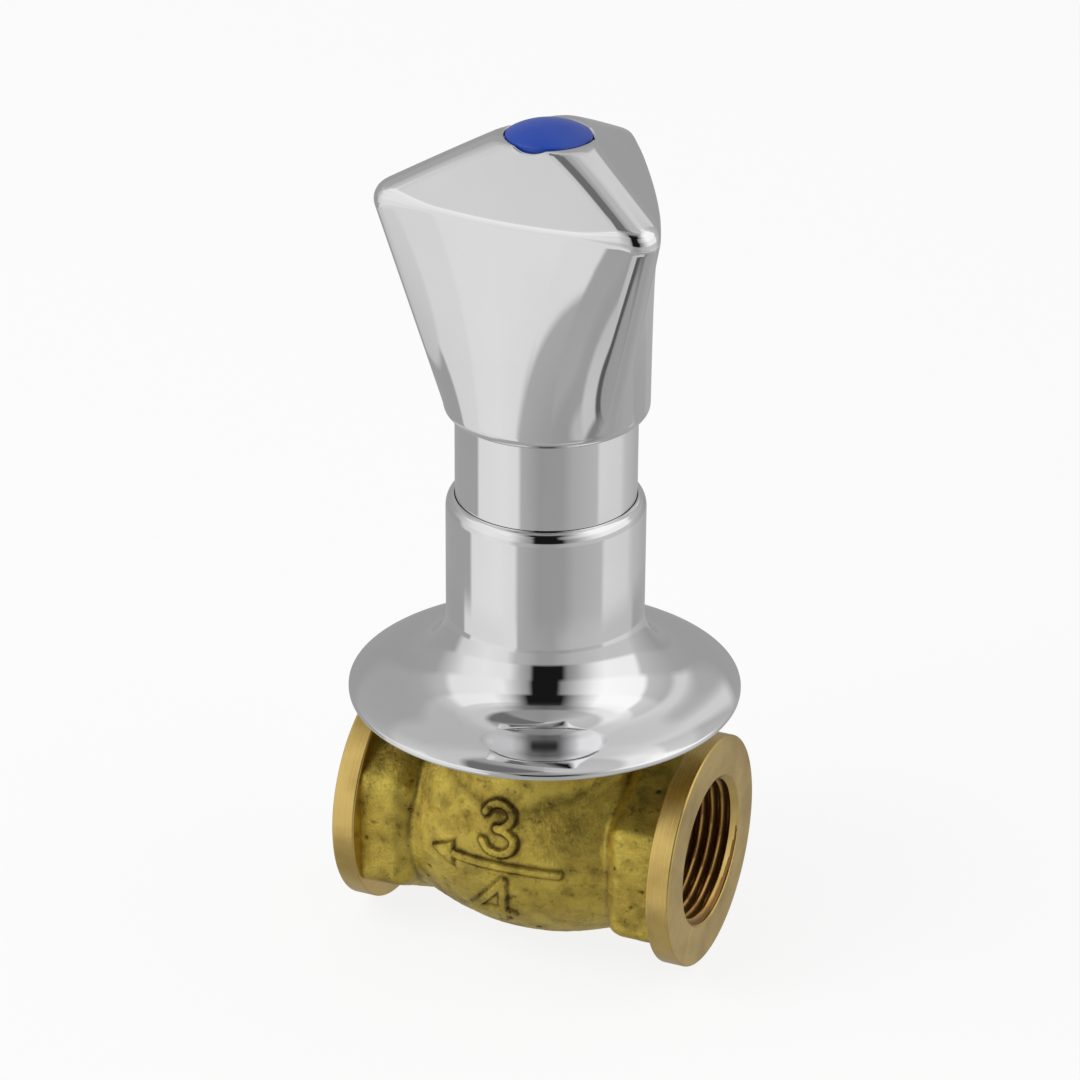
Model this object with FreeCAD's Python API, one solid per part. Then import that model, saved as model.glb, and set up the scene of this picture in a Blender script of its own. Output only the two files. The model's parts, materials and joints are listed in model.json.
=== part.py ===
"""Concealed stop valve for a three-quarter inch pipe, with wall flange, sleeve and knob.

Units are millimetres. +Z runs up the spindle, the pipe runs along X from the inlet at -X
to the outlet at +X, and the origin lies under the spindle, level with the lowest point of
the end rings. The valve is shown shut.
"""
import FreeCAD, Part
import math
import os

# Pipe ends of the body
THREAD_MINOR_R = 12.06          # plain bore of the pipe thread
THREAD_DEPTH = 15.0             # from the end face to the bottom of the bore
THREAD_MOUTH_R = 13.3           # chamfered mouth
END_RING_R = 20.1
END_RING_WIDTH = 4.1
END_RING_CHAMFER = 0.4
BODY_HALF_LENGTH = 30.9

# Cast middle of the body
NECK_ACROSS_FLATS = 34.0
NECK_START_X = 18.2             # inner end of each hexagonal neck
NECK_EDGE_R = 3.0               # rounding of the neck's inner end
GLOBE_R = 19.6
GLOBE_CROWN_R = 42.0            # bulge of the globe along the pipe
BOSS_R = 17.0
BOSS_TOP_Z = 42.0
BOSS_CHAMFER = 0.8

# Water way through the body
PASSAGE_R = 8.0                 # chamber below the seat
PASSAGE_DROP = 7.5              # its axis lies this far below the pipe's axis
OUTLET_R = 7.5
OUTLET_RISE = 8.0               # outlet passage above the pipe's axis
SEAT_BORE_R = 6.5
SEAT_RIM_WALL = 1.7
SEAT_RIM_HEIGHT = 1.0
BRIDGE_TOP_Z = 23.6             # floor of the upper chamber

# Headwork that screws in the boss
HEADWORK_WALL = 1.2             # round the counterbore, at the thread
HEADWORK_THREAD_LENGTH = 9.0
HEADWORK_SHOULDER = 1.6         # the hexagon's flats stand this far out of the thread
HEADWORK_HEX_HEIGHT = 6.5
HEADWORK_NECK_R = 8.9
HEADWORK_NECK_CHAMFER = 0.6
HEADWORK_TOP_Z = 70.0
HEX_GUIDE_GAP = 0.3             # across flats, between the plunger and its guide
HEX_GUIDE_TOP_Z = 57.2
COUNTERBORE_HEIGHT = 5.0
COLLAR_ROOM_R = 6.0
GASKET_THICKNESS = 1.5
GASKET_OVERHANG = 1.2           # past the hexagon's flats
THREAD_GAP = 0.05               # between a screwed piece and its thread

# Spindle
SPINDLE_R = 4.5
SPINDLE_THREAD_R = 4.0
SPINDLE_BOTTOM_Z = 41.5
SPINDLE_TOP_Z = 84.0
SPINDLE_CHAMFER = 0.4
COLLAR_R = 5.5
COLLAR_HEIGHT = 2.0
THRUST_WASHER_THICKNESS = 0.8
SHAFT_GAP = 0.1                 # radial running clearance
O_RING_SECTION_R = 0.75
O_RING_LOWER_Z = 63.5
O_RING_UPPER_Z = 67.0
GROOVE_SIDE_GAP = 0.15          # on each side of an O-ring
GROOVE_DEPTH_GAP = 0.05         # under an O-ring
CIRCLIP_THICKNESS = 0.8
CIRCLIP_OUTER_R = 6.6
CIRCLIP_DEPTH = 0.5             # how far it reaches in its groove
CIRCLIP_GAP = 0.05              # over and under it in its groove
CIRCLIP_GAP_ANGLE = 50.0
SPLINE_TEETH = 20
SPLINE_TIP_START = 0.35         # part of the pitch at which a tooth's tip starts
SPLINE_TIP_R = 4.0
SPLINE_ROOT_R = 3.6
SPLINE_GAP = 0.05
SPLINE_BOTTOM_Z = 73.0

# Spindle extension
EXTENSION_R = 6.2
EXTENSION_CHAMFER = 0.5
EXTENSION_BOTTOM_Z = 74.0
EXTENSION_SHOULDER_Z = 107.0
EXTENSION_TOP_Z = 124.0
SOCKET_TOP_Z = 85.0
GRUB_SCREW_R = 1.5
GRUB_SCREW_Z = 79.0
GRUB_SOCKET_R = 0.8

# Plunger
PLUNGER_WALL = 1.4              # between its thread and its flats
PLUNGER_TOP_Z = 50.0
PLUNGER_DISC_GAP = 0.5          # radial, in the chamber
PLUNGER_DISC_HEIGHT = 3.0
PLUNGER_CUP_DEPTH = 1.6
PLUNGER_BORE_BOTTOM_Z = 35.0
PLUNGER_CUP_WALL = 0.8
SEAT_WASHER_OVERLAP = 1.4       # past the seat's bore
SEAT_WASHER_THICKNESS = 3.2
SEAT_WASHER_HOLE_R = 2.2
SEAT_GAP = 0.1                  # the rubber stands this far off the rim when shut
PLATE_R = 4.6
PLATE_THICKNESS = 0.8
SEAT_SCREW_R = 1.9
SEAT_SCREW_HEAD_R = 3.4
SEAT_SCREW_HEAD_HEIGHT = 2.0
SEAT_SCREW_LENGTH = 5.5
SEAT_SCREW_SLOT = 0.9
SEAT_SCREW_CHAMFER = 0.4

# Sleeve
SLEEVE_R = 15.18
SLEEVE_WALL = 1.0
SLEEVE_OVERLAP = 4.0            # how far it stands in the knob's skirt
SLEEVE_NUT_BOTTOM_Z = 54.0
SLEEVE_NUT_HEIGHT = 6.0
SLEEVE_NUT_SLOT_WIDTH = 3.0
SLEEVE_NUT_SLOT_DEPTH = 2.0
SLEEVE_RIM_CHAMFER = 0.3

# Wall flange
FLANGE_RIM_R = 33.26
FLANGE_RIM_Z = 46.4             # upper edge of the rim
FLANGE_NECK_STEP = 1.54         # from the sleeve out to the neck's face
FLANGE_WALL = 1.1
FLANGE_FLARE_R = 12.0           # concave flare from the neck to the rim
FLANGE_SLOPE = 20.0             # degrees, of the skirt at its outer part
FLANGE_SHOULDER_Z = 79.4
FLANGE_LIP_HEIGHT = 2.4
FLANGE_GAP = 0.12               # radial, between the lip and the sleeve
FLANGE_RING_Z = 75.0
FLANGE_RING_SECTION_R = 0.45
FLANGE_GROOVE_GAP = 0.05        # round the ring in its groove

# Knob
KNOB_SLEEVE_GAP = 0.27          # radial, between the skirt's bore and the sleeve
KNOB_SKIRT_WALL = 1.63
KNOB_BOTTOM_LAND = 0.25         # flat ring round the skirt's bore
KNOB_CORNER_REACH = 11.32       # from the round base out to a corner at the rim
KNOB_BASE_Z = 98.6
KNOB_TIP_Z = 135.3
KNOB_BOTTOM_Z = 97.0
KNOB_SKIRT_DEPTH = 5.0
KNOB_CORNER_ANGLE = -32.5       # direction of the corner nearest +X
KNOB_WALL = 3.0
CROWN_APEX_Z = 151.3
CROWN_SLOPE = 0.92              # fall per millimetre towards each flat
CROWN_RIDGE_R = 4.0
CROWN_RIM_R = 1.2
HUB_R = 8.6
INSERT_R = 6.4
INSERT_TOP_DROP = 5.0           # below the screw's seat
INSERT_FLANGE_R = 8.0
INSERT_FLANGE_HEIGHT = 1.5
SCREW_SEAT_DROP = 9.6           # below the button's seat
SCREW_HOLE_R = 2.8
SCREW_R = 2.2
SCREW_LENGTH = 20.0
SCREW_HEAD_R = 3.9
SCREW_HEAD_HEIGHT = 2.6
SCREW_HEAD_ROUNDING = 1.2
SCREW_CHAMFER = 0.4
SCREW_HOLE_SPARE = 2.0          # tapped depth past the screw's end
SCREW_CROSS_WIDTH = 1.1
SCREW_CROSS_LENGTH = 4.6
SCREW_WASHER_R = 4.4
SCREW_WASHER_THICKNESS = 0.8

# Index button
BUTTON_R = 7.0
BUTTON_GAP = 0.15
BUTTON_SEAT_DROP = 8.7          # below the point where the crown's facets would meet
BUTTON_EDGE_HEIGHT = 2.4
BUTTON_DOME_HEIGHT = 1.6
BUTTON_STEM_R = 5.6
BUTTON_STEM_WALL = 0.9
BUTTON_STEM_LENGTH = 5.0
BUTTON_STEM_SLOTS = 4
BUTTON_SLOT_WIDTH = 1.2
BUTTON_STEM_RING = 1.0          # height of the stem above its slots

SPARE = 1.0                     # how far a cutting form reaches past what it cuts
TOLERANCE = 0.01                # for points that lie on the same line or circle
FOLD_ANGLE = 5.0                # degrees, from which two faces count as folded

# Values that follow from the ones above
PIPE_Z = END_RING_R
SEAT_RIM_R = SEAT_BORE_R + SEAT_RIM_WALL
SEAT_WASHER_R = SEAT_BORE_R + SEAT_WASHER_OVERLAP
PLUNGER_DISC_R = SEAT_WASHER_R + PLUNGER_CUP_WALL
PLUNGER_HEX = 2 * (SPINDLE_THREAD_R + SHAFT_GAP + PLUNGER_WALL)
HEX_GUIDE = PLUNGER_HEX + HEX_GUIDE_GAP
CHAMBER_R = PLUNGER_DISC_R + PLUNGER_DISC_GAP
COUNTERBORE_R = CHAMBER_R
HEADWORK_THREAD_R = COUNTERBORE_R + HEADWORK_WALL
HEADWORK_HEX = 2 * (HEADWORK_THREAD_R + HEADWORK_SHOULDER)
GASKET_OUTER_R = HEADWORK_HEX / 2 + GASKET_OVERHANG
SLEEVE_TOP_Z = KNOB_BOTTOM_Z + SLEEVE_OVERLAP
FLANGE_NECK_R = SLEEVE_R + FLANGE_NECK_STEP
KNOB_SKIRT_BORE_R = SLEEVE_R + KNOB_SLEEVE_GAP
KNOB_BOTTOM_R = KNOB_SKIRT_BORE_R + KNOB_BOTTOM_LAND
KNOB_BASE_R = KNOB_SKIRT_BORE_R + KNOB_SKIRT_WALL
KNOB_TIP_R = KNOB_BASE_R + KNOB_CORNER_REACH
BUTTON_SEAT_Z = CROWN_APEX_Z - BUTTON_SEAT_DROP
SCREW_SEAT_Z = BUTTON_SEAT_Z - SCREW_SEAT_DROP
INSERT_TOP_Z = SCREW_SEAT_Z - INSERT_TOP_DROP
UP = FreeCAD.Vector(0, 0, 1)
ALONG_PIPE = FreeCAD.Vector(1, 0, 0)
ORIGIN = FreeCAD.Vector(0, 0, 0)
HEADWORK_BOTTOM_Z = BOSS_TOP_Z - HEADWORK_THREAD_LENGTH
HEADWORK_SEAT_Z = BOSS_TOP_Z + GASKET_THICKNESS
HEADWORK_HEX_TOP_Z = HEADWORK_SEAT_Z + HEADWORK_HEX_HEIGHT
SEAT_RIM_Z = BRIDGE_TOP_Z + SEAT_RIM_HEIGHT
SEAT_WASHER_Z = SEAT_RIM_Z + SEAT_GAP
PLUNGER_DISC_Z = SEAT_WASHER_Z + SEAT_WASHER_THICKNESS
THRUST_SHOULDER_Z = HEX_GUIDE_TOP_Z + COLLAR_HEIGHT + THRUST_WASHER_THICKNESS + SHAFT_GAP
INSERT_BOTTOM_Z = EXTENSION_SHOULDER_Z
HUB_BOTTOM_Z = INSERT_BOTTOM_Z + INSERT_FLANGE_HEIGHT
COLLAR_Z = THRUST_SHOULDER_Z - THRUST_WASHER_THICKNESS - COLLAR_HEIGHT
KNOB_CORNER_ANGLES = [KNOB_CORNER_ANGLE + 120 * turn for turn in range(3)]


def outline_wire(points):
    """Closed wire through points; a point marked "via" is passed on the way by an arc."""
    edges = []
    index = 0
    closed = points + [points[0]]
    while index < len(closed) - 1:
        start = closed[index][0]
        if closed[index + 1][1] == "via":
            edges.append(Part.Arc(start, closed[index + 1][0], closed[index + 2][0]).toShape())
            index += 2
        else:
            edges.append(Part.LineSegment(start, closed[index + 1][0]).toShape())
            index += 1
    return Part.Wire(edges)


def turned(points):
    """Piece turned about Z from (radius, height) points, "via" as a third value for arcs."""
    placed = [(FreeCAD.Vector(p[0], 0, p[1]), p[2] if len(p) > 2 else "") for p in points]
    return Part.Face(outline_wire(placed)).revolve(ORIGIN, UP, 360)


def turned_on_pipe(points):
    """Piece turned about the pipe's axis from (x, radius) points, "via" for arcs."""
    placed = [(FreeCAD.Vector(p[0], 0, PIPE_Z + p[1]), p[2] if len(p) > 2 else "") for p in points]
    return Part.Face(outline_wire(placed)).revolve(FreeCAD.Vector(0, 0, PIPE_Z), ALONG_PIPE, 360)


def rod(radius, bottom, top):
    """Upright cylinder on the spindle's axis."""
    return Part.makeCylinder(radius, top - bottom, FreeCAD.Vector(0, 0, bottom))


def tube(outer, inner, bottom, top):
    """Upright ring or tube on the spindle's axis."""
    return rod(outer, bottom, top).cut(rod(inner, bottom, top))


def chamfered_rod(radius, bottom, top, chamfer):
    """Upright cylinder with both ends chamfered."""
    return turned([(0, bottom), (radius - chamfer, bottom), (radius, bottom + chamfer),
                   (radius, top - chamfer), (radius - chamfer, top), (0, top)])


def hexagon(across_flats, bottom, top):
    """Upright hexagonal bar with flats that face -Y and +Y."""
    corner_r = across_flats / math.sqrt(3)
    corners = [FreeCAD.Vector(corner_r * math.cos(math.radians(60 * i)),
                              corner_r * math.sin(math.radians(60 * i)), bottom)
               for i in range(7)]
    return Part.Face(Part.makePolygon(corners)).extrude(FreeCAD.Vector(0, 0, top - bottom))


def polar(radius, angle, height):
    """Point at a radius, an angle in degrees and a height."""
    turn = math.radians(angle)
    return FreeCAD.Vector(radius * math.cos(turn), radius * math.sin(turn), height)


def globe_radius(x):
    """Radius of the globe at a distance along the pipe."""
    return GLOBE_R - GLOBE_CROWN_R + math.sqrt(GLOBE_CROWN_R ** 2 - x ** 2)


def end_ring():
    """Machined ring at the +X end of the body."""
    inner_x = BODY_HALF_LENGTH - END_RING_WIDTH
    return turned_on_pipe([
        (inner_x, 0), (inner_x, END_RING_R - END_RING_CHAMFER), (inner_x + END_RING_CHAMFER, END_RING_R),
        (BODY_HALF_LENGTH - END_RING_CHAMFER, END_RING_R),
        (BODY_HALF_LENGTH, END_RING_R - END_RING_CHAMFER), (BODY_HALF_LENGTH, 0)])


def hex_neck():
    """Cast hexagonal neck between the globe and the +X end ring, rounded at its inner end."""
    corner_r = NECK_ACROSS_FLATS / math.sqrt(3)
    end_x = BODY_HALF_LENGTH - END_RING_WIDTH / 2
    corners = []
    for i in range(7):
        turn = math.radians(60 * i)
        corners.append(FreeCAD.Vector(NECK_START_X, corner_r * math.sin(turn),
                                      PIPE_Z + corner_r * math.cos(turn)))
    bar = Part.Face(Part.makePolygon(corners)).extrude(FreeCAD.Vector(end_x - NECK_START_X, 0, 0))
    bend = NECK_EDGE_R * (1 - math.sqrt(0.5))
    rounding = turned_on_pipe([
        (NECK_START_X, 0), (NECK_START_X, corner_r - NECK_EDGE_R),
        (NECK_START_X + bend, corner_r - bend, "via"), (NECK_START_X + NECK_EDGE_R, corner_r),
        (end_x, corner_r), (end_x, 0)])
    return bar.common(rounding)


def on_inlet_side(shape):
    """The same shape turned round to the -X side."""
    turned_round = shape.copy()
    turned_round.rotate(ORIGIN, UP, 180)
    return turned_round


def thread_bore():
    """Bore of the +X pipe thread with its chamfered mouth."""
    chamfer = THREAD_MOUTH_R - THREAD_MINOR_R
    bottom_x = BODY_HALF_LENGTH - THREAD_DEPTH
    return turned_on_pipe([
        (bottom_x, 0), (bottom_x, THREAD_MINOR_R), (BODY_HALF_LENGTH - chamfer, THREAD_MINOR_R),
        (BODY_HALF_LENGTH, THREAD_MOUTH_R), (BODY_HALF_LENGTH, 0)])


def valve_body():
    """Brass casting: globe, necks, end rings, boss, and the water way with its seat."""
    side = NECK_START_X + NECK_EDGE_R / 2
    globe = turned_on_pipe([
        (-side, 0), (-side, globe_radius(side)), (0, GLOBE_R, "via"), (side, globe_radius(side)), (side, 0)])
    boss = turned([(0, PIPE_Z), (BOSS_R, PIPE_Z), (BOSS_R, BOSS_TOP_Z - BOSS_CHAMFER),
                   (BOSS_R - BOSS_CHAMFER, BOSS_TOP_Z), (0, BOSS_TOP_Z)])
    outside = globe.fuse([boss, end_ring(), hex_neck(), on_inlet_side(end_ring()), on_inlet_side(hex_neck())])

    bore_bottom = BODY_HALF_LENGTH - THREAD_DEPTH
    inlet_z = PIPE_Z - PASSAGE_DROP
    inlet = Part.makeCylinder(PASSAGE_R, bore_bottom, FreeCAD.Vector(-bore_bottom, 0, inlet_z), ALONG_PIPE)
    inlet_end = Part.makeSphere(PASSAGE_R, FreeCAD.Vector(0, 0, inlet_z))
    outlet = Part.makeCylinder(OUTLET_R, bore_bottom, FreeCAD.Vector(0, 0, PIPE_Z + OUTLET_RISE), ALONG_PIPE)
    chamber = rod(CHAMBER_R, BRIDGE_TOP_Z, HEADWORK_BOTTOM_Z + SPARE)
    headwork_bore = rod(HEADWORK_THREAD_R + THREAD_GAP, HEADWORK_BOTTOM_Z - SPARE, BOSS_TOP_Z)
    upper_space = chamber.fuse([outlet, headwork_bore])
    seat_rim = rod(SEAT_RIM_R, BRIDGE_TOP_Z - SPARE, SEAT_RIM_Z)
    seat_bore = rod(SEAT_BORE_R, inlet_z, SEAT_RIM_Z)
    floor_of_outlet = Part.makeBox(bore_bottom, 2 * OUTLET_R, 2 * OUTLET_R,
                                   FreeCAD.Vector(0, -OUTLET_R, BRIDGE_TOP_Z - 2 * OUTLET_R))
    upper_space = upper_space.cut([seat_rim, floor_of_outlet])
    water_way = upper_space.fuse([inlet, inlet_end, seat_bore, thread_bore(), on_inlet_side(thread_bore())])
    return outside.cut(water_way).removeSplitter()


def headwork():
    """Brass bonnet: thread, hexagon, neck, plunger guide and spindle bore."""
    bar = rod(HEADWORK_THREAD_R, HEADWORK_BOTTOM_Z, HEADWORK_SEAT_Z)
    nut = hexagon(HEADWORK_HEX, HEADWORK_SEAT_Z, HEADWORK_HEX_TOP_Z)
    corner_r = HEADWORK_HEX / math.sqrt(3)
    chamfer = corner_r - HEADWORK_HEX / 2
    nut = nut.common(turned([
        (0, HEADWORK_SEAT_Z), (corner_r, HEADWORK_SEAT_Z), (corner_r, HEADWORK_HEX_TOP_Z - chamfer / 2),
        (HEADWORK_HEX / 2, HEADWORK_HEX_TOP_Z), (0, HEADWORK_HEX_TOP_Z)]))
    neck = chamfered_rod(HEADWORK_NECK_R, HEADWORK_SEAT_Z, HEADWORK_TOP_Z, HEADWORK_NECK_CHAMFER)
    solid = bar.fuse([nut, neck])
    counterbore = rod(COUNTERBORE_R, HEADWORK_BOTTOM_Z, HEADWORK_BOTTOM_Z + COUNTERBORE_HEIGHT)
    guide = hexagon(HEX_GUIDE, HEADWORK_BOTTOM_Z, HEX_GUIDE_TOP_Z)
    collar_room = rod(COLLAR_ROOM_R, HEX_GUIDE_TOP_Z, THRUST_SHOULDER_Z)
    bore = rod(SPINDLE_R + SHAFT_GAP, HEX_GUIDE_TOP_Z, HEADWORK_TOP_Z)
    return solid.cut([counterbore, guide, collar_room, bore]).removeSplitter()


def headwork_gasket():
    """Flat fibre ring between the headwork's hexagon and the boss."""
    return tube(GASKET_OUTER_R, HEADWORK_THREAD_R + THREAD_GAP, BOSS_TOP_Z, HEADWORK_SEAT_Z)


def splined_bar(tip_r, root_r, bottom, top):
    """Upright bar with straight teeth all round."""
    points = []
    for tooth in range(SPLINE_TEETH):
        start = 360.0 * tooth / SPLINE_TEETH
        step = 360.0 / SPLINE_TEETH
        points.append(polar(root_r, start, bottom))
        points.append(polar(tip_r, start + SPLINE_TIP_START * step, bottom))
        points.append(polar(tip_r, start + (1 - SPLINE_TIP_START) * step, bottom))
    points.append(points[0])
    return Part.Face(Part.makePolygon(points)).extrude(FreeCAD.Vector(0, 0, top - bottom))


def o_ring_groove(height):
    """Space for an O-ring round the spindle."""
    half = O_RING_SECTION_R + GROOVE_SIDE_GAP
    floor_r = SPINDLE_R + SHAFT_GAP - 2 * O_RING_SECTION_R - GROOVE_DEPTH_GAP
    return tube(SPINDLE_R + SPARE, floor_r, height - half, height + half)


def o_ring(height):
    """O-ring in its groove on the spindle."""
    centre_r = SPINDLE_R + SHAFT_GAP / 2 - O_RING_SECTION_R
    return Part.makeTorus(centre_r, O_RING_SECTION_R, FreeCAD.Vector(0, 0, height))


def spindle():
    """Non-rising spindle: thread below, thrust collar, sealed shaft, splined end."""
    thread_top = COLLAR_Z + SPINDLE_CHAMFER + COLLAR_HEIGHT / 2
    thread = chamfered_rod(SPINDLE_THREAD_R, SPINDLE_BOTTOM_Z, thread_top, SPINDLE_CHAMFER)
    collar = rod(COLLAR_R, COLLAR_Z, COLLAR_Z + COLLAR_HEIGHT)
    shaft = rod(SPINDLE_R, COLLAR_Z + COLLAR_HEIGHT, SPLINE_BOTTOM_Z)
    splines = splined_bar(SPLINE_TIP_R, SPLINE_ROOT_R, SPLINE_BOTTOM_Z, SPINDLE_TOP_Z)
    bar = thread.fuse([collar, shaft, splines])
    groove_bottom = HEADWORK_TOP_Z + SHAFT_GAP
    circlip_groove = tube(SPINDLE_R + SPARE, SPINDLE_R - CIRCLIP_DEPTH - SHAFT_GAP, groove_bottom,
                          groove_bottom + CIRCLIP_THICKNESS + 2 * CIRCLIP_GAP)
    return bar.cut([o_ring_groove(O_RING_LOWER_Z), o_ring_groove(O_RING_UPPER_Z), circlip_groove])


def thrust_washer():
    """Low-friction washer between the spindle's collar and the headwork."""
    bottom = COLLAR_Z + COLLAR_HEIGHT
    return tube(COLLAR_R, SPINDLE_R + THREAD_GAP, bottom, bottom + THRUST_WASHER_THICKNESS - THREAD_GAP)


def circlip():
    """Open spring ring in the spindle's groove, above the headwork."""
    bottom = HEADWORK_TOP_Z + SHAFT_GAP + CIRCLIP_GAP
    ring = tube(CIRCLIP_OUTER_R, SPINDLE_R - CIRCLIP_DEPTH, bottom, bottom + CIRCLIP_THICKNESS)
    half = CIRCLIP_GAP_ANGLE / 2
    reach = 2 * CIRCLIP_OUTER_R
    mouth = Part.makePolygon([FreeCAD.Vector(0, 0, bottom), polar(reach, -half, bottom),
                              polar(reach, half, bottom), FreeCAD.Vector(0, 0, bottom)])
    return ring.cut(Part.Face(mouth).extrude(FreeCAD.Vector(0, 0, CIRCLIP_THICKNESS)))


def grub_screw_hole(radius):
    """Radial cylinder through the extension's wall on the +X side."""
    return Part.makeCylinder(radius, EXTENSION_R, FreeCAD.Vector(SPLINE_TIP_R + SPLINE_GAP, 0, GRUB_SCREW_Z),
                             ALONG_PIPE)


def spindle_extension():
    """Brass rod with a splined socket below and a splined, tapped end above."""
    bar = chamfered_rod(EXTENSION_R, EXTENSION_BOTTOM_Z, EXTENSION_SHOULDER_Z, EXTENSION_CHAMFER)
    upper = splined_bar(SPLINE_TIP_R, SPLINE_ROOT_R, EXTENSION_SHOULDER_Z, EXTENSION_TOP_Z)
    socket = splined_bar(SPLINE_TIP_R + SPLINE_GAP, SPLINE_ROOT_R + SPLINE_GAP, EXTENSION_BOTTOM_Z, SOCKET_TOP_Z)
    screw_bottom = SCREW_SEAT_Z + SCREW_WASHER_THICKNESS - SCREW_LENGTH
    tapped = rod(SCREW_R + THREAD_GAP, screw_bottom - SCREW_HOLE_SPARE, EXTENSION_TOP_Z)
    return bar.fuse(upper).cut([socket, tapped, grub_screw_hole(GRUB_SCREW_R + THREAD_GAP)])


def extension_grub_screw():
    """Headless screw that clamps the extension, with a hexagonal socket."""
    length = EXTENSION_R - SPLINE_TIP_R - SPLINE_GAP
    screw = Part.makeCylinder(GRUB_SCREW_R, length - THREAD_GAP,
                              FreeCAD.Vector(SPLINE_TIP_R + SPLINE_GAP, 0, GRUB_SCREW_Z), ALONG_PIPE)
    corners = [FreeCAD.Vector(EXTENSION_R - length / 2, GRUB_SOCKET_R * math.cos(math.radians(60 * i)),
                              GRUB_SCREW_Z + GRUB_SOCKET_R * math.sin(math.radians(60 * i))) for i in range(7)]
    return screw.cut(Part.Face(Part.makePolygon(corners)).extrude(FreeCAD.Vector(length, 0, 0)))


def plunger():
    """Hexagonal carrier that rises on the spindle's thread, with the washer's cup below."""
    stem = hexagon(PLUNGER_HEX, PLUNGER_DISC_Z, PLUNGER_TOP_Z)
    disc = rod(PLUNGER_DISC_R, PLUNGER_DISC_Z - PLUNGER_CUP_DEPTH, PLUNGER_DISC_Z + PLUNGER_DISC_HEIGHT)
    cup = rod(SEAT_WASHER_R + THREAD_GAP, PLUNGER_DISC_Z - PLUNGER_CUP_DEPTH, PLUNGER_DISC_Z)
    nut = rod(SPINDLE_THREAD_R + SHAFT_GAP, PLUNGER_BORE_BOTTOM_Z, PLUNGER_TOP_Z)
    tapped = rod(SEAT_SCREW_R + THREAD_GAP, PLUNGER_DISC_Z - SPARE, PLUNGER_DISC_Z + SEAT_SCREW_LENGTH)
    return stem.fuse(disc).cut([cup, nut, tapped]).removeSplitter()


def seat_washer():
    """Rubber disc that closes the seat."""
    return tube(SEAT_WASHER_R, SEAT_WASHER_HOLE_R, SEAT_WASHER_Z, PLUNGER_DISC_Z)


def seat_washer_plate():
    """Thin plate under the head of the seat washer's screw."""
    return tube(PLATE_R, SEAT_SCREW_R + THREAD_GAP, SEAT_WASHER_Z - PLATE_THICKNESS, SEAT_WASHER_Z)


def seat_washer_screw():
    """Slotted screw that clamps the seat washer to the plunger."""
    seat = SEAT_WASHER_Z - PLATE_THICKNESS
    head = chamfered_rod(SEAT_SCREW_HEAD_R, seat - SEAT_SCREW_HEAD_HEIGHT, seat, SEAT_SCREW_CHAMFER)
    shank = rod(SEAT_SCREW_R, seat, PLUNGER_DISC_Z + SEAT_SCREW_LENGTH - SPARE)
    slot_corner = FreeCAD.Vector(-2 * SEAT_SCREW_HEAD_R, -SEAT_SCREW_SLOT / 2, seat - SEAT_SCREW_HEAD_HEIGHT)
    slot = Part.makeBox(4 * SEAT_SCREW_HEAD_R, SEAT_SCREW_SLOT, SEAT_SCREW_SLOT, slot_corner)
    return head.fuse(shank).cut(slot)


def sleeve():
    """Chromed tube from the boss up into the knob's skirt."""
    inner = SLEEVE_R - SLEEVE_WALL
    return turned([(inner, BOSS_TOP_Z), (SLEEVE_R, BOSS_TOP_Z), (SLEEVE_R, SLEEVE_TOP_Z - SLEEVE_RIM_CHAMFER),
                   (SLEEVE_R - SLEEVE_RIM_CHAMFER, SLEEVE_TOP_Z), (inner, SLEEVE_TOP_Z)])


def sleeve_nut():
    """Threaded ring that ties the sleeve to the headwork's neck, with two spanner slots."""
    top = SLEEVE_NUT_BOTTOM_Z + SLEEVE_NUT_HEIGHT
    ring = tube(SLEEVE_R - SLEEVE_WALL - THREAD_GAP, HEADWORK_NECK_R + THREAD_GAP, SLEEVE_NUT_BOTTOM_Z, top)
    slot_corner = FreeCAD.Vector(-2 * SLEEVE_R, -SLEEVE_NUT_SLOT_WIDTH / 2, top - SLEEVE_NUT_SLOT_DEPTH)
    slot = Part.makeBox(4 * SLEEVE_R, SLEEVE_NUT_SLOT_WIDTH, SLEEVE_NUT_SLOT_DEPTH, slot_corner)
    return ring.cut(slot)


def flange_outline(offset):
    """Points of the flange's outer face from the neck down to the rim, moved inwards by offset."""
    lean = math.radians(FLANGE_SLOPE)
    flare = FLANGE_FLARE_R + offset
    centre_r = FLANGE_NECK_R + FLANGE_FLARE_R
    run = FLANGE_RIM_R - (centre_r - FLANGE_FLARE_R * math.sin(lean))
    centre_z = FLANGE_RIM_Z + run * math.tan(lean) + FLANGE_FLARE_R * math.cos(lean)
    middle = math.radians(90 - FLANGE_SLOPE) / 2
    neck = (centre_r - flare, centre_z)
    half_way = (centre_r - flare * math.cos(middle), centre_z - flare * math.sin(middle), "via")
    flare_end = (centre_r - flare * math.sin(lean), centre_z - flare * math.cos(lean))
    rim = (FLANGE_RIM_R, FLANGE_RIM_Z - offset / math.cos(lean))
    return neck, half_way, flare_end, rim


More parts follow.
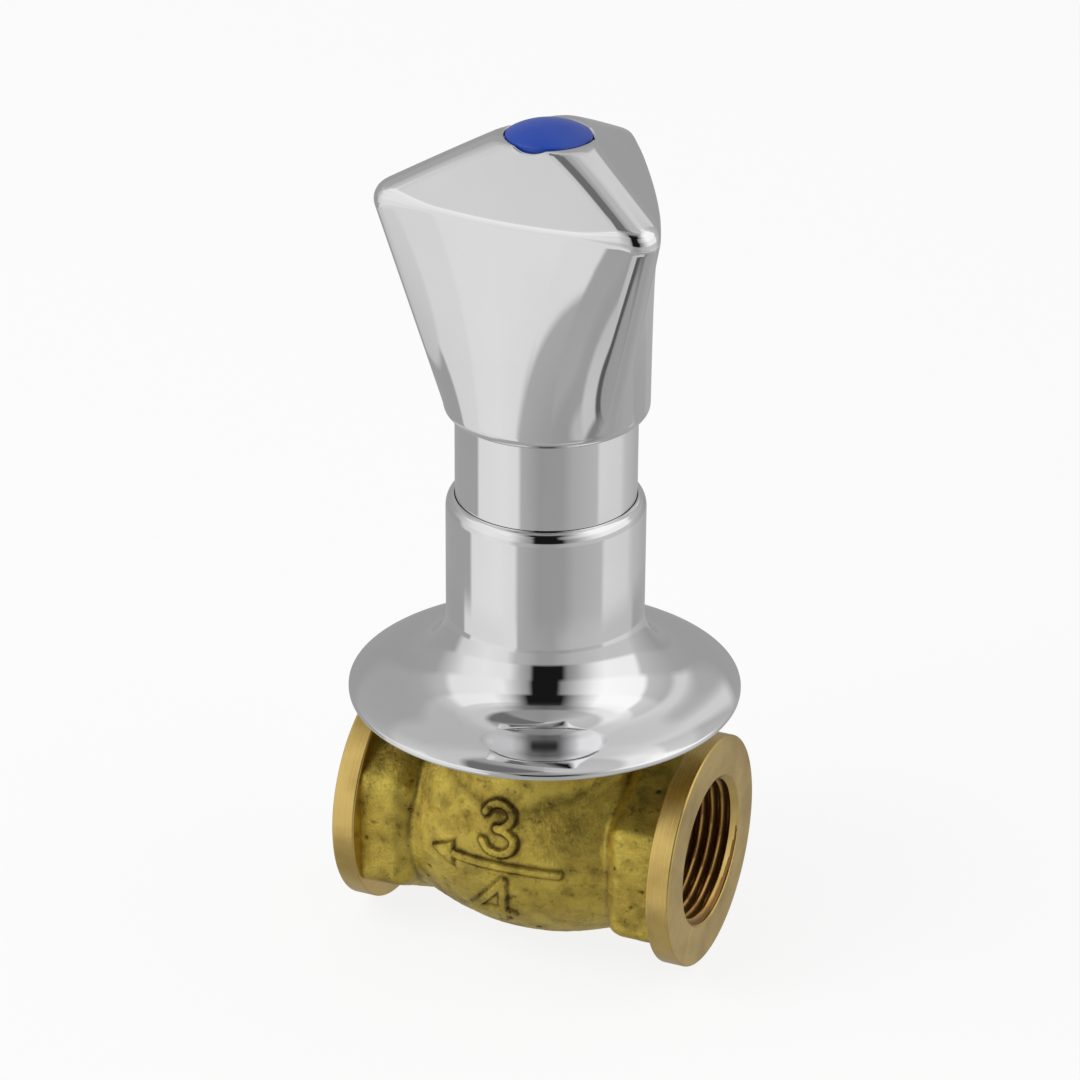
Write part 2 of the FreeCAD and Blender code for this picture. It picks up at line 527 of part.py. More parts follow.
def wall_flange():
    """Spun bell: rim, concave flare, neck, and a lip turned in to the sleeve."""
    bore = SLEEVE_R + FLANGE_GAP
    neck, half_way, flare_end, rim = flange_outline(0)
    inner_neck, inner_half_way, inner_flare_end, inner_rim = flange_outline(FLANGE_WALL)
    lip_top = FLANGE_SHOULDER_Z + FLANGE_LIP_HEIGHT
    bend = 1 - math.sqrt(0.5)
    bell = turned([
        inner_rim, rim, flare_end, half_way, neck, (FLANGE_NECK_R, FLANGE_SHOULDER_Z),
        (FLANGE_NECK_R - bend * (FLANGE_NECK_R - bore), lip_top - bend * FLANGE_LIP_HEIGHT, "via"),
        (bore, lip_top), (bore, FLANGE_RING_Z - 3 * FLANGE_RING_SECTION_R),
        (FLANGE_NECK_R - FLANGE_WALL, FLANGE_RING_Z - 4 * FLANGE_RING_SECTION_R),
        inner_neck, inner_half_way, inner_flare_end])
    half_groove = FLANGE_RING_SECTION_R + FLANGE_GROOVE_GAP
    groove = tube(flange_ring_centre_r() + half_groove, bore - SPARE, FLANGE_RING_Z - half_groove,
                  FLANGE_RING_Z + half_groove)
    return bell.cut(groove)


def flange_ring_centre_r():
    """Radius of the middle of the flange's rubber ring."""
    return SLEEVE_R + THREAD_GAP + FLANGE_RING_SECTION_R


def flange_o_ring():
    """Rubber ring in the flange's neck that grips the sleeve."""
    return Part.makeTorus(flange_ring_centre_r(), FLANGE_RING_SECTION_R, FreeCAD.Vector(0, 0, FLANGE_RING_Z))


def corner_arc(centre_distance, radius, angle, height):
    """Arc of 120 degrees round one corner of the knob."""
    centre = polar(centre_distance, angle, height)
    ends = [centre + polar(radius, angle + side, 0) for side in (-60, 0, 60)]
    return Part.Arc(ends[0], ends[1], ends[2]).toShape(), ends[0], ends[2]


def flared_form(flat_distance, tip_r, apex_z):
    """Solid that is round at the knob's base and has three flats and three corners above.

    Each corner is a slanted cone that touches both its flats, so a level cut is a circle at
    the base and a triangle with rounded corners higher up.
    """
    flare = (tip_r - flat_distance) / (KNOB_TIP_Z - KNOB_BASE_Z)
    ridge_end_z = (apex_z - CROWN_SLOPE / 2 * (flat_distance - flare * KNOB_BASE_Z)) / (1 + CROWN_SLOPE / 2 * flare)
    top_z = ridge_end_z + SPARE / 2
    growth = flare * (top_z - KNOB_BASE_Z)
    low = [corner_arc(0, flat_distance, angle, KNOB_BASE_Z) for angle in KNOB_CORNER_ANGLES]
    high = [corner_arc(2 * growth, flat_distance - growth, angle, top_z) for angle in KNOB_CORNER_ANGLES]
    faces = []
    top_edges = []
    for index in range(3):
        after = (index + 1) % 3
        faces.append(Part.makeRuledSurface(low[index][0], high[index][0]))
        flat = [low[index][2], high[index][2], high[after][1], low[index][2]]
        faces.append(Part.Face(Part.makePolygon(flat)))
        top_edges.append(high[index][0])
        top_edges.append(Part.LineSegment(high[index][2], high[after][1]).toShape())
    faces.append(Part.Face(Part.Wire(Part.sortEdges([arc[0] for arc in low])[0])))
    faces.append(Part.Face(Part.Wire(Part.sortEdges(top_edges)[0])))
    shell = Part.makeShell(faces)
    shell.sewShape()
    solid = Part.makeSolid(shell)
    if solid.Volume < 0:
        solid.reverse()
    upper = faces[-1].extrude(FreeCAD.Vector(0, 0, apex_z - top_z))
    return solid.fuse(upper)


def crown(apex_z):
    """Three-sided pyramid over the whole knob, one face above each flat."""
    depth = apex_z - KNOB_BOTTOM_Z
    reach = 2 * depth / CROWN_SLOPE
    apex = FreeCAD.Vector(0, 0, apex_z)
    feet = [polar(reach, angle, KNOB_BOTTOM_Z) for angle in KNOB_CORNER_ANGLES]
    faces = [Part.Face(Part.makePolygon([feet[i], feet[(i + 1) % 3], apex, feet[i]])) for i in range(3)]
    faces.append(Part.Face(Part.makePolygon([feet[0], feet[1], feet[2], feet[0]])))
    solid = Part.makeSolid(Part.makeShell(faces))
    if solid.Volume < 0:
        solid.reverse()
    return solid


def edge_middle(edge):
    """Point in the middle of an edge."""
    return edge.valueAt((edge.FirstParameter + edge.LastParameter) / 2)


def folded_edges(shape):
    """Edges of a shape whose two faces meet at a visible angle."""
    found = []
    for edge in shape.Edges:
        middle = edge_middle(edge)
        sides = [face for face in shape.Faces if any(side.isSame(edge) for side in face.Edges)]
        if len(sides) == 2:
            normals = [face.normalAt(*face.Surface.parameter(middle)) for face in sides]
            if math.degrees(normals[0].getAngle(normals[1])) > FOLD_ANGLE:
                found.append(edge)
    return found


def knob_outside():
    """Outer form of the knob above its round base, with rounded ridges and rim."""
    form = flared_form(KNOB_BASE_R, KNOB_TIP_R, CROWN_APEX_Z).common(crown(CROWN_APEX_Z))
    form = form.cut(rod(BUTTON_R + BUTTON_GAP, BUTTON_SEAT_Z, CROWN_APEX_Z))
    ridges = []
    for edge in folded_edges(form):
        middle = edge_middle(edge)
        for angle in KNOB_CORNER_ANGLES:
            along = polar(1, angle, 0)
            lies_on_ridge = abs(middle.cross(along).z) < TOLERANCE and middle.dot(along) > BUTTON_R
            if lies_on_ridge and middle.z > KNOB_TIP_Z:
                ridges.append(edge)
    form = form.makeFillet(CROWN_RIDGE_R, ridges)
    hole_r = BUTTON_R + BUTTON_GAP + TOLERANCE
    rim = []
    for edge in folded_edges(form):
        middle = edge_middle(edge)
        if middle.z > KNOB_TIP_Z - CROWN_RIM_R and math.hypot(middle.x, middle.y) > hole_r:
            rim.append(edge)
    return form.makeFillet(CROWN_RIM_R, rim)


def knob_skirt():
    """Rounded lower end of the knob."""
    bend = 1 - math.sqrt(0.5)
    middle_r = KNOB_BASE_R - bend * (KNOB_BASE_R - KNOB_BOTTOM_R)
    middle_z = KNOB_BOTTOM_Z + bend * (KNOB_BASE_Z - KNOB_BOTTOM_Z)
    return turned([(0, KNOB_BOTTOM_Z), (KNOB_BOTTOM_R, KNOB_BOTTOM_Z), (middle_r, middle_z, "via"),
                   (KNOB_BASE_R, KNOB_BASE_Z), (0, KNOB_BASE_Z)])


def knob_cavity():
    """Hollow inside the knob, which leaves the wall and the hub."""
    roof_drop = KNOB_WALL * math.sqrt(1 + CROWN_SLOPE ** 2)
    roof = CROWN_APEX_Z - roof_drop
    hollow = flared_form(KNOB_BASE_R - KNOB_WALL, KNOB_TIP_R - KNOB_WALL, roof).common(crown(roof))
    skirt_bore = rod(KNOB_SKIRT_BORE_R, KNOB_BOTTOM_Z, KNOB_BOTTOM_Z + KNOB_SKIRT_DEPTH)
    return hollow.fuse(skirt_bore).cut(rod(HUB_R, HUB_BOTTOM_Z, CROWN_APEX_Z))


def knob():
    """Die-cast knob: round base, three flats and corners, pyramid crown, hollow below."""
    insert_bore = rod(INSERT_R, HUB_BOTTOM_Z, INSERT_TOP_Z)
    screw_hole = rod(SCREW_HOLE_R, INSERT_TOP_Z, SCREW_SEAT_Z)
    stem_room = rod(BUTTON_STEM_R + BUTTON_GAP, SCREW_SEAT_Z, BUTTON_SEAT_Z)
    solid = knob_outside().fuse(knob_skirt())
    return solid.cut([knob_cavity(), insert_bore, screw_hole, stem_room])


def knob_insert():
    """Plastic bush pressed in the knob's hub, with a flange below and a splined bore."""
    bush = rod(INSERT_R, INSERT_BOTTOM_Z, INSERT_TOP_Z)
    flange = rod(INSERT_FLANGE_R, INSERT_BOTTOM_Z, HUB_BOTTOM_Z)
    bore = splined_bar(SPLINE_TIP_R + SPLINE_GAP, SPLINE_ROOT_R + SPLINE_GAP, INSERT_BOTTOM_Z, INSERT_TOP_Z)
    return bush.fuse(flange).cut(bore).removeSplitter()


def knob_screw():
    """Pan-head screw with a cross recess that holds the knob down."""
    seat = SCREW_SEAT_Z + SCREW_WASHER_THICKNESS
    top = seat + SCREW_HEAD_HEIGHT
    bend = 1 - math.sqrt(0.5)
    rounding = SCREW_HEAD_ROUNDING
    head = turned([(0, seat), (SCREW_HEAD_R, seat), (SCREW_HEAD_R, top - rounding),
                   (SCREW_HEAD_R - rounding * bend, top - rounding * bend, "via"),
                   (SCREW_HEAD_R - rounding, top), (0, top)])
    shank = chamfered_rod(SCREW_R, seat - SCREW_LENGTH, seat, SCREW_CHAMFER)
    recess = []
    for length, width in ((SCREW_CROSS_LENGTH, SCREW_CROSS_WIDTH), (SCREW_CROSS_WIDTH, SCREW_CROSS_LENGTH)):
        corner = FreeCAD.Vector(-length / 2, -width / 2, top - SCREW_CROSS_WIDTH)
        recess.append(Part.makeBox(length, width, SCREW_CROSS_WIDTH, corner))
    return head.fuse(shank).cut(recess)


def knob_screw_washer():
    """Washer under the knob screw's head."""
    return tube(SCREW_WASHER_R, SCREW_R + THREAD_GAP, SCREW_SEAT_Z, SCREW_SEAT_Z + SCREW_WASHER_THICKNESS)


def index_button():
    """Domed button with a split stem that snaps in the knob's recess."""
    edge_z = BUTTON_SEAT_Z + BUTTON_EDGE_HEIGHT
    top_z = edge_z + BUTTON_DOME_HEIGHT
    dome_r = (BUTTON_R ** 2 + BUTTON_DOME_HEIGHT ** 2) / (2 * BUTTON_DOME_HEIGHT)
    half_r = BUTTON_R / 2
    half_z = top_z - dome_r + math.sqrt(dome_r ** 2 - half_r ** 2)
    cap = turned([(0, BUTTON_SEAT_Z), (BUTTON_R, BUTTON_SEAT_Z), (BUTTON_R, edge_z),
                  (half_r, half_z, "via"), (0, top_z)])
    stem = tube(BUTTON_STEM_R, BUTTON_STEM_R - BUTTON_STEM_WALL, BUTTON_SEAT_Z - BUTTON_STEM_LENGTH,
                BUTTON_SEAT_Z)
    slots = []
    for slot in range(BUTTON_STEM_SLOTS // 2):
        cut = Part.makeBox(4 * BUTTON_STEM_R, BUTTON_SLOT_WIDTH, BUTTON_STEM_LENGTH - BUTTON_STEM_RING,
                           FreeCAD.Vector(-2 * BUTTON_STEM_R, -BUTTON_SLOT_WIDTH / 2,
                                          BUTTON_SEAT_Z - BUTTON_STEM_LENGTH))
        cut.rotate(ORIGIN, UP, KNOB_CORNER_ANGLE + 360 / BUTTON_STEM_SLOTS * slot)
        slots.append(cut)
    return cap.fuse(stem.cut(slots))


PIECES = {
    "valve_body": valve_body,
    "headwork": headwork,
    "headwork_gasket": headwork_gasket,
    "sleeve": sleeve,
    "sleeve_nut": sleeve_nut,
    "wall_flange": wall_flange,
    "flange_o_ring": flange_o_ring,
    "spindle": spindle,
    "spindle_o_ring_lower": lambda: o_ring(O_RING_LOWER_Z),
    "spindle_o_ring_upper": lambda: o_ring(O_RING_UPPER_Z),
    "thrust_washer": thrust_washer,
    "circlip": circlip,
    "spindle_extension": spindle_extension,
    "extension_grub_screw": extension_grub_screw,
    "plunger": plunger,
    "seat_washer": seat_washer,
    "seat_washer_plate": seat_washer_plate,
    "seat_washer_screw": seat_washer_screw,
    "knob": knob,
    "knob_insert": knob_insert,
    "knob_screw": knob_screw,
    "knob_screw_washer": knob_screw_washer,
    "index_button": index_button,
}

os.makedirs("parts", exist_ok=True)
for name, build in PIECES.items():
    shape = build()
    print(name, shape.isValid(), len(shape.Solids), round(shape.Volume, 1), len(shape.Faces))
    shape.exportStep(f"parts/{name}.step")
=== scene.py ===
"""Studio scene of a concealed stop valve for a three-quarter inch pipe.

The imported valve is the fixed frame. The brass casting, the bell flange, the sleeve, the
knob and its button are made again here as smooth meshes, each in the place of its frame
node. The other pieces keep the frame's mesh and get a finish. Sizes are in millimetres,
and meshes are written in metres.
"""
import enum
import json
import logging
import math
from dataclasses import dataclass, field

import bpy
import numpy as np
from mathutils import Matrix, Vector, noise

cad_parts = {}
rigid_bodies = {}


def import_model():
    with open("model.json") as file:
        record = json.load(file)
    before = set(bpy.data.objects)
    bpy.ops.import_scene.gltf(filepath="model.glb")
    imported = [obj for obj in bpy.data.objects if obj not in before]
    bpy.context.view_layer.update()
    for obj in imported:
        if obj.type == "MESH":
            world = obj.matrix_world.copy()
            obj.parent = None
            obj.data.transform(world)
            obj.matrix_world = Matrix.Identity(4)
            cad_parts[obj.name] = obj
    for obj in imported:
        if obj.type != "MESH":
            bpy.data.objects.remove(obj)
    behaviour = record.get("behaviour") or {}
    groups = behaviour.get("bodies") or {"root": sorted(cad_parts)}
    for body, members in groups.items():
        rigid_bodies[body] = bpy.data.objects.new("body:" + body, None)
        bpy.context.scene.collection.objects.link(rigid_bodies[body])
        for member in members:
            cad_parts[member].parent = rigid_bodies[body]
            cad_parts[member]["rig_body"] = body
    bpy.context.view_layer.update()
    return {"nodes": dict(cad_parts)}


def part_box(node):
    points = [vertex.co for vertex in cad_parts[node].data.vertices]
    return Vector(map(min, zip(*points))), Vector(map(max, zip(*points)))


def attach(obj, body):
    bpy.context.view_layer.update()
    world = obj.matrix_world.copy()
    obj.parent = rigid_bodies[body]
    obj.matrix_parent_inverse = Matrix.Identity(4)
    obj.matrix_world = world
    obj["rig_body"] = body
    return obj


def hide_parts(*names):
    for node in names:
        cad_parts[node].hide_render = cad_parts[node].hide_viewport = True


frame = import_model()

MM = 0.001
PHOTO_PIXELS = 1080
SENSOR_MM = 36.0
WELD_DISTANCE = 1e-6            # metres, closes the seams and poles of turned meshes
FAR = 1e3                       # millimetres, farther than any place on the valve
Tree = bpy.types.NodeTree
Socket = bpy.types.NodeSocket

log = logging.getLogger("valve")


class Side(enum.Enum):
    """End of the body, with the sign of its place along the pipe."""

    INLET = -1
    OUTLET = 1


class Axis(enum.Enum):
    """Axis that a piece was turned about."""

    PIPE = "pipe"
    SPINDLE = "spindle"


class Slot(enum.Enum):
    """Material slots of the record."""

    CAST_BRASS = "cast_brass"
    CHROME = "chrome_plate"
    BLUE_PLASTIC = "blue_plastic"


def node_box(node: str) -> tuple[np.ndarray, np.ndarray]:
    """Read a frame node's lowest and highest corner.

    Args:
        node: The frame node's name.

    Returns:
        Both corners in millimetres.
    """
    low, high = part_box(node)
    return np.array(low) / MM, np.array(high) / MM


def linear(hex_colour: str) -> tuple[float, float, float, float]:
    """Turn an sRGB hex colour into linear light.

    Args:
        hex_colour: Colour such as "#C0A860".

    Returns:
        Linear red, green and blue, and an alpha of 1.
    """
    channels = []
    for start in (1, 3, 5):
        value = int(hex_colour[start:start + 2], 16) / 255
        channels.append(value / 12.92 if value <= 0.04045 else ((value + 0.055) / 1.055) ** 2.4)
    return (*channels, 1.0)


def per_metre(size_mm: float) -> float:
    """Texture scale at which one feature has a size in millimetres."""
    return 1 / (size_mm * MM)


def add_node(tree: Tree, kind: str, inputs: dict | None = None, **settings) -> bpy.types.Node:
    """Add a node with its settings, values and links.

    Args:
        tree: Shader or geometry node tree.
        kind: The node's type.
        inputs: Values, output sockets or nodes, by the input's name or number. A node gives its first output.
        **settings: Fields of the node itself, such as its operation.

    Returns:
        The new node.
    """
    node = tree.nodes.new(kind)
    for setting, value in settings.items():
        setattr(node, setting, value)
    for key, value in (inputs or {}).items():
        if isinstance(value, bpy.types.Node):
            tree.links.new(value.outputs[0], node.inputs[key])
        elif isinstance(value, Socket):
            tree.links.new(value, node.inputs[key])
        else:
            node.inputs[key].default_value = value
    return node


@dataclass(frozen=True)
class Finish:
    """Surface of one real material, as a shader.

    Its patterns go from the colour to the dark colour, from a smoother to a rougher gloss,
    and from low to high bumps.
    """

    name: str
    colour: str
    dark_colour: str
    metallic: float
    roughness: float
    smoother: float = 0.0
    rougher: float = 0.0
    gloss_range: tuple = (0.3, 0.7)
    bump_mm: float = 0.0
    bump_strength: float = 0.5

    def material(self) -> bpy.types.Material:
        """Return the finish's material, made at its first use."""
        known = bpy.data.materials.get(self.name)
        if known:
            return known
        material = bpy.data.materials.new(self.name)
        material.use_nodes = True
        tree = material.node_tree
        shader = tree.nodes["Principled BSDF"]
        shader.inputs["Metallic"].default_value = self.metallic
        shader.inputs["Roughness"].default_value = self.roughness
        patterns = self.patterns(tree, add_node(tree, "ShaderNodeTexCoord").outputs["Object"])
        skin = add_node(tree, "ShaderNodeMix", {
            0: patterns["dark"], 6: patterns.get("skin", linear(self.colour)), 7: linear(self.dark_colour)},
                        data_type="RGBA")
        tree.links.new(skin.outputs[2], shader.inputs["Base Color"])
        if "gloss" in patterns:
            rough = add_node(tree, "ShaderNodeMapRange", {
                "Value": patterns["gloss"], "From Min": self.gloss_range[0], "From Max": self.gloss_range[1],
                "To Min": self.roughness - self.smoother, "To Max": self.roughness + self.rougher})
            tree.links.new(rough.outputs["Result"], shader.inputs["Roughness"])
        if "height" in patterns:
            bump = add_node(tree, "ShaderNodeBump", {
                "Height": patterns["height"], "Distance": self.bump_mm * MM, "Strength": self.bump_strength})
            tree.links.new(bump.outputs["Normal"], shader.inputs["Normal"])
        return material

    def patterns(self, tree: Tree, place: Socket) -> dict[str, Socket | bpy.types.Node]:
        """Add the finish's patterns.

        Args:
            tree: The material's node tree.
            place: Object coordinates, in metres.

        Returns:
            The share of the dark colour, and where they are wanted the skin under it, the gloss
            and the height of the bumps.
        """
        raise NotImplementedError


@dataclass(frozen=True)
class ChromePlate(Finish):
    """Bright nickel and chrome on polished metal: mirror-like, with a soft haze that varies."""

    name: str = "polished_chrome"
    colour: str = "#E8E8E9"
    dark_colour: str = "#E1E1E2"
    metallic: float = 1.0
    roughness: float = 0.035
    smoother: float = 0.01
    rougher: float = 0.01
    bump_mm: float = 0.002
    haze_mm: float = 14.0
    ripple_mm: float = 3.0

    def patterns(self, tree: Tree, place: Socket) -> dict[str, Socket | bpy.types.Node]:
        """Add haze with a faint tint, and the ripple that polishing leaves."""
        haze = add_node(tree, "ShaderNodeTexNoise", {
            "Vector": place, "Scale": per_metre(self.haze_mm), "Detail": 3.0})
        ripple = add_node(tree, "ShaderNodeTexNoise", {
            "Vector": place, "Scale": per_metre(self.ripple_mm), "Detail": 1.0})
        return {"dark": haze, "gloss": haze, "height": ripple}


@dataclass(frozen=True)
class CastBrass(Finish):
    """Sand-cast brass: a dull, gritty olive-yellow skin with dark stains, and painted shade in its hollows.
    """

    name: str = "sand_cast_brass"
    colour: str = "#E2D064"
    # The dark colour serves both the stains and the painted shade in the hollows.
    dark_colour: str = "#54431A"
    warm_colour: str = "#D2B04C"
    metallic: float = 0.9
    roughness: float = 0.43
    smoother: float = 0.1
    rougher: float = 0.14
    bump_mm: float = 0.14
    bump_strength: float = 0.8
    patch_mm: float = 7.0
    grit_mm: float = 0.5
    speck_mm: float = 1.6
    stain_share: float = 0.5

    def patterns(self, tree: Tree, place: Socket) -> dict[str, Socket | bpy.types.Node]:
        """Add patches, specks and grit, with the stains and the painted shade that the mesh's layer gives."""
        patches, grit, specks = (
            add_node(tree, "ShaderNodeTexNoise", {
                "Vector": place, "Scale": per_metre(size_mm), "Detail": detail, "Roughness": roughness})
            for size_mm, detail, roughness in ((self.patch_mm, 6.0, 0.65), (self.grit_mm, 3.0, 0.6),
                                               (self.speck_mm, 4.0, 0.7)))
        # The mesh's layer brings stains, and painted shade in the pits, the creases and round the marks.
        dirt_and_shade = add_node(tree, "ShaderNodeAttribute", attribute_name="grime_and_shade").outputs["Fac"]
        for pattern, start, end in ((patches, 0.42, 0.75), (specks, 0.56, 0.74)):
            stains = add_node(tree, "ShaderNodeMapRange", {
                "Value": pattern, "From Min": start, "From Max": end, "To Max": self.stain_share})
            dirt_and_shade = add_node(tree, "ShaderNodeMath", {0: stains, 1: dirt_and_shade}, operation="ADD", use_clamp=True)
        colours = {6: linear(self.colour), 7: linear(self.warm_colour)}
        warm = add_node(tree, "ShaderNodeMix", {0: patches, **colours}, data_type="RGBA")
        return {"dark": dirt_and_shade, "skin": warm.outputs[2], "gloss": grit, "height": grit}


@dataclass(frozen=True)
class TurnedBrass(Finish):
    """Brass cut on a lathe: warm satin metal with lines round the axis it turned about.

    Real lines are finer. They are drawn this coarse so that they show at the photograph's distance.
    """

    name: str = "turned_brass"
    colour: str = "#DDBF74"
    dark_colour: str = "#A88A48"
    metallic: float = 1.0
    roughness: float = 0.3
    smoother: float = 0.06
    rougher: float = 0.08
    bump_mm: float = 0.003
    bump_strength: float = 0.7
    axis: Axis = Axis.SPINDLE
    axis_height_mm: float = 0.0
    line_mm: float = 0.22
    tarnish_mm: float = 9.0

    def patterns(self, tree: Tree, place: Socket) -> dict[str, Socket | bpy.types.Node]:
        """Add lathe lines, drawn along the axis on the round and outwards on the end faces, and tarnish."""
        along, reach = from_axis(tree, place, self.axis, self.axis_height_mm)
        step = add_node(tree, "ShaderNodeMath", {0: along, 1: reach}, operation="ADD")
        lines = add_node(tree, "ShaderNodeTexNoise", {
            "W": step, "Scale": per_metre(self.line_mm), "Detail": 2.0}, noise_dimensions="1D")
        tarnish = add_node(tree, "ShaderNodeTexNoise", {
            "Vector": place, "Scale": per_metre(self.tarnish_mm), "Detail": 5.0})
        stain = add_node(tree, "ShaderNodeMapRange", {
            "Value": tarnish, "From Min": 0.45, "From Max": 0.75, "To Max": 0.7})
        return {"dark": stain, "gloss": lines, "height": lines}


def from_axis(tree: Tree, place: Socket, axis: Axis, height_mm: float) -> tuple[Socket, Socket]:
    """Measure a place along an axis and away from it.

    Args:
        tree: The material's node tree.
        place: Object coordinates, in metres.
        axis: The axis.
        height_mm: Height of the pipe's axis.

    Returns:
        Output sockets of both distances, in metres.
    """
    parts = add_node(tree, "ShaderNodeSeparateXYZ", {0: place}).outputs
    lift = add_node(tree, "ShaderNodeMath", {0: parts["Z"], 1: height_mm * MM}, operation="SUBTRACT")
    along, across = (parts["X"], lift.outputs[0]) if axis is Axis.PIPE else (parts["Z"], parts["X"])
    offset = add_node(tree, "ShaderNodeCombineXYZ", {"X": across, "Y": parts["Y"]})
    return along, add_node(tree, "ShaderNodeVectorMath", {0: offset}, operation="LENGTH").outputs["Value"]


@dataclass(frozen=True)
class OiledShadedThread(Finish):
    """Brass in the cut thread: bright crests, with shade painted darker into the roots and a broken brown
    film of oil.
    """

    name: str = "oiled_shaded_thread"
    colour: str = "#D8AC64"
    dark_colour: str = "#8A6634"
    metallic: float = 0.85
    roughness: float = 0.38
    axis_height_mm: float = 20.1
    crest_r_mm: float = 12.06
    root_shade_mm: float = 0.812
    film_mm: float = 3.0

    def patterns(self, tree: Tree, place: Socket) -> dict[str, Socket | bpy.types.Node]:
        """Paint shade into the thread from its crest to its root, with a broken film of oil."""
        reach = from_axis(tree, place, Axis.PIPE, self.axis_height_mm)[1]
        # Painted shade: darker from the crest down to the root.
        depth = add_node(tree, "ShaderNodeMapRange", {
            "Value": reach, "From Min": self.crest_r_mm * MM,
            "From Max": (self.crest_r_mm + self.root_shade_mm) * MM})
        film = add_node(tree, "ShaderNodeTexNoise", {
            "Vector": place, "Scale": per_metre(self.film_mm), "Detail": 4.0})
        cover = add_node(tree, "ShaderNodeMath", {0: depth, 1: film}, operation="ADD")
        dark = add_node(tree, "ShaderNodeMapRange", {"Value": cover, "From Min": 0.45, "From Max": 1.25})
        return {"dark": dark}


@dataclass(frozen=True)
class Moulded(Finish):
    """Moulded plastic or rubber: one colour with faint clouds, and the mould's fine grain."""

    name: str = "moulded"
    colour: str = "#D8D5CC"
    dark_colour: str = "#C4C0B4"
    metallic: float = 0.0
    roughness: float = 0.4
    smoother: float = 0.04
    rougher: float = 0.05
    bump_mm: float = 0.006
    cloud_mm: float = 6.0
    grain_mm: float = 0.35

    def patterns(self, tree: Tree, place: Socket) -> dict[str, Socket | bpy.types.Node]:
        """Add clouds of a darker tone and the grain."""
        clouds = add_node(tree, "ShaderNodeTexNoise", {
            "Vector": place, "Scale": per_metre(self.cloud_mm), "Detail": 3.0})
        grain = add_node(tree, "ShaderNodeTexNoise", {
            "Vector": place, "Scale": per_metre(self.grain_mm), "Detail": 2.0})
        return {"dark": clouds, "gloss": clouds, "height": grain}


@dataclass(frozen=True)
class ZincSteel(Finish):
    """Zinc-plated steel: pale grey and satin, with a faint spangle."""

    name: str = "zinc_steel"
    colour: str = "#C4C6C8"
    dark_colour: str = "#989CA0"
    metallic: float = 1.0
    roughness: float = 0.34
    smoother: float = 0.06
    rougher: float = 0.08
    gloss_range: tuple = (0.0, 1.0)
    spangle_mm: float = 0.7

    def patterns(self, tree: Tree, place: Socket) -> dict[str, Socket | bpy.types.Node]:
        """Add the spangle to the colour and the gloss."""
        spangle = add_node(tree, "ShaderNodeTexVoronoi", {
            "Vector": place, "Scale": per_metre(self.spangle_mm)})
        value = add_node(tree, "ShaderNodeSeparateColor", {0: spangle.outputs["Color"]}).outputs
        return {"dark": value["Red"], "gloss": value["Green"]}


BLUE_PLASTIC = Moulded(name="blue_acetal", colour="#1A46AA", dark_colour="#163EA0", roughness=0.3)
WHITE_PLASTIC = Moulded(name="white_nylon")
BLACK_RUBBER = Moulded(name="black_nitrile", colour="#2A2A2B", dark_colour="#1F1F20", roughness=0.6)
FIBRE = Moulded(name="fibre_gasket", colour="#6E4A38", dark_colour="#573A2C", roughness=0.75)


def new_mesh(name: str, points_mm: np.ndarray, faces: np.ndarray) -> bpy.types.Mesh:
    """Write points and faces to a mesh whose faces point outwards.

    Args:
        name: The mesh's name.
        points_mm: Points in millimetres, one row each.
        faces: Point numbers of each face.

    Returns:
        The mesh, in metres.
    """
    mesh = bpy.data.meshes.new(name)
    mesh.from_pydata((points_mm * MM).tolist(), [], faces.tolist())
    turn_outwards(mesh)
    return mesh


def turn_outwards(mesh: bpy.types.Mesh) -> None:
    """Flip a closed mesh's faces if they point inwards."""
    points = np.zeros(len(mesh.vertices) * 3)
    mesh.vertices.foreach_get("co", points)
    points = points.reshape(-1, 3)
    mesh.calc_loop_triangles()
    corners = np.zeros(len(mesh.loop_triangles) * 3, dtype=np.int32)
    mesh.loop_triangles.foreach_get("vertices", corners)
    a, b, c = (points[corners.reshape(-1, 3)[:, i]] for i in range(3))
    if np.einsum("ij,ij->i", a, np.cross(b, c)).sum() < 0:
        mesh.flip_normals()


def wrapped_faces(rows: int, columns: int, closed_rows: bool) -> np.ndarray:
    """Number the faces of a grid whose last column joins the first.

    Args:
        rows: Count of rows.
        columns: Count of columns.
        closed_rows: Whether the last row joins the first too.

    Returns:
        Four point numbers for each face.
    """
    row = np.arange(rows if closed_rows else rows - 1)[:, None]
    column = np.arange(columns)[None, :]
    after_row = (row + 1) % rows
    after_column = (column + 1) % columns
    corners = [row * columns + column, row * columns + after_column,
               after_row * columns + after_column, after_row * columns + column]
    return np.stack(np.broadcast_arrays(*corners), axis=-1).reshape(-1, 4)


def smooth_step(value: np.ndarray) -> np.ndarray:
    """Ease from 0 to 1 as a value goes from 0 to 1."""
    held = np.clip(value, 0, 1)
    return held * held * (3 - 2 * held)


def rounded_outline(corners: list[tuple[float, float, float]], steps: int = 5,
                    support: float = 0.1) -> list[tuple[float, float]]:
    """Round the corners of a closed outline.

    Args:
        corners: Radius, height and rounding of each corner.
        steps: Spans of each rounding.
        support: Distance from a rounding to the point that keeps the long side flat.

    Returns:
        Points of the outline as radius and height.
    """
    outline = []
    for index, (radius, height, rounding) in enumerate(corners):
        corner = Vector((radius, height))
        if rounding == 0:
            outline.append((radius, height))
            continue
        before = Vector(corners[index - 1][:2]) - corner
        after = Vector(corners[(index + 1) % len(corners)][:2]) - corner
        half_angle = before.angle(after) / 2
        reach = rounding / math.tan(half_angle)
        start = corner + before.normalized() * reach
        end = corner + after.normalized() * reach
        middle = (before.normalized() + after.normalized()).normalized()
        centre = corner + middle * rounding / math.sin(half_angle)
        outline.append(tuple(start + before.normalized() * support))
        for step in range(steps + 1):
            spoke = (start - centre).slerp(end - centre, step / steps)
            outline.append(tuple(centre + spoke * rounding))
        outline.append(tuple(end + after.normalized() * support))
    return outline


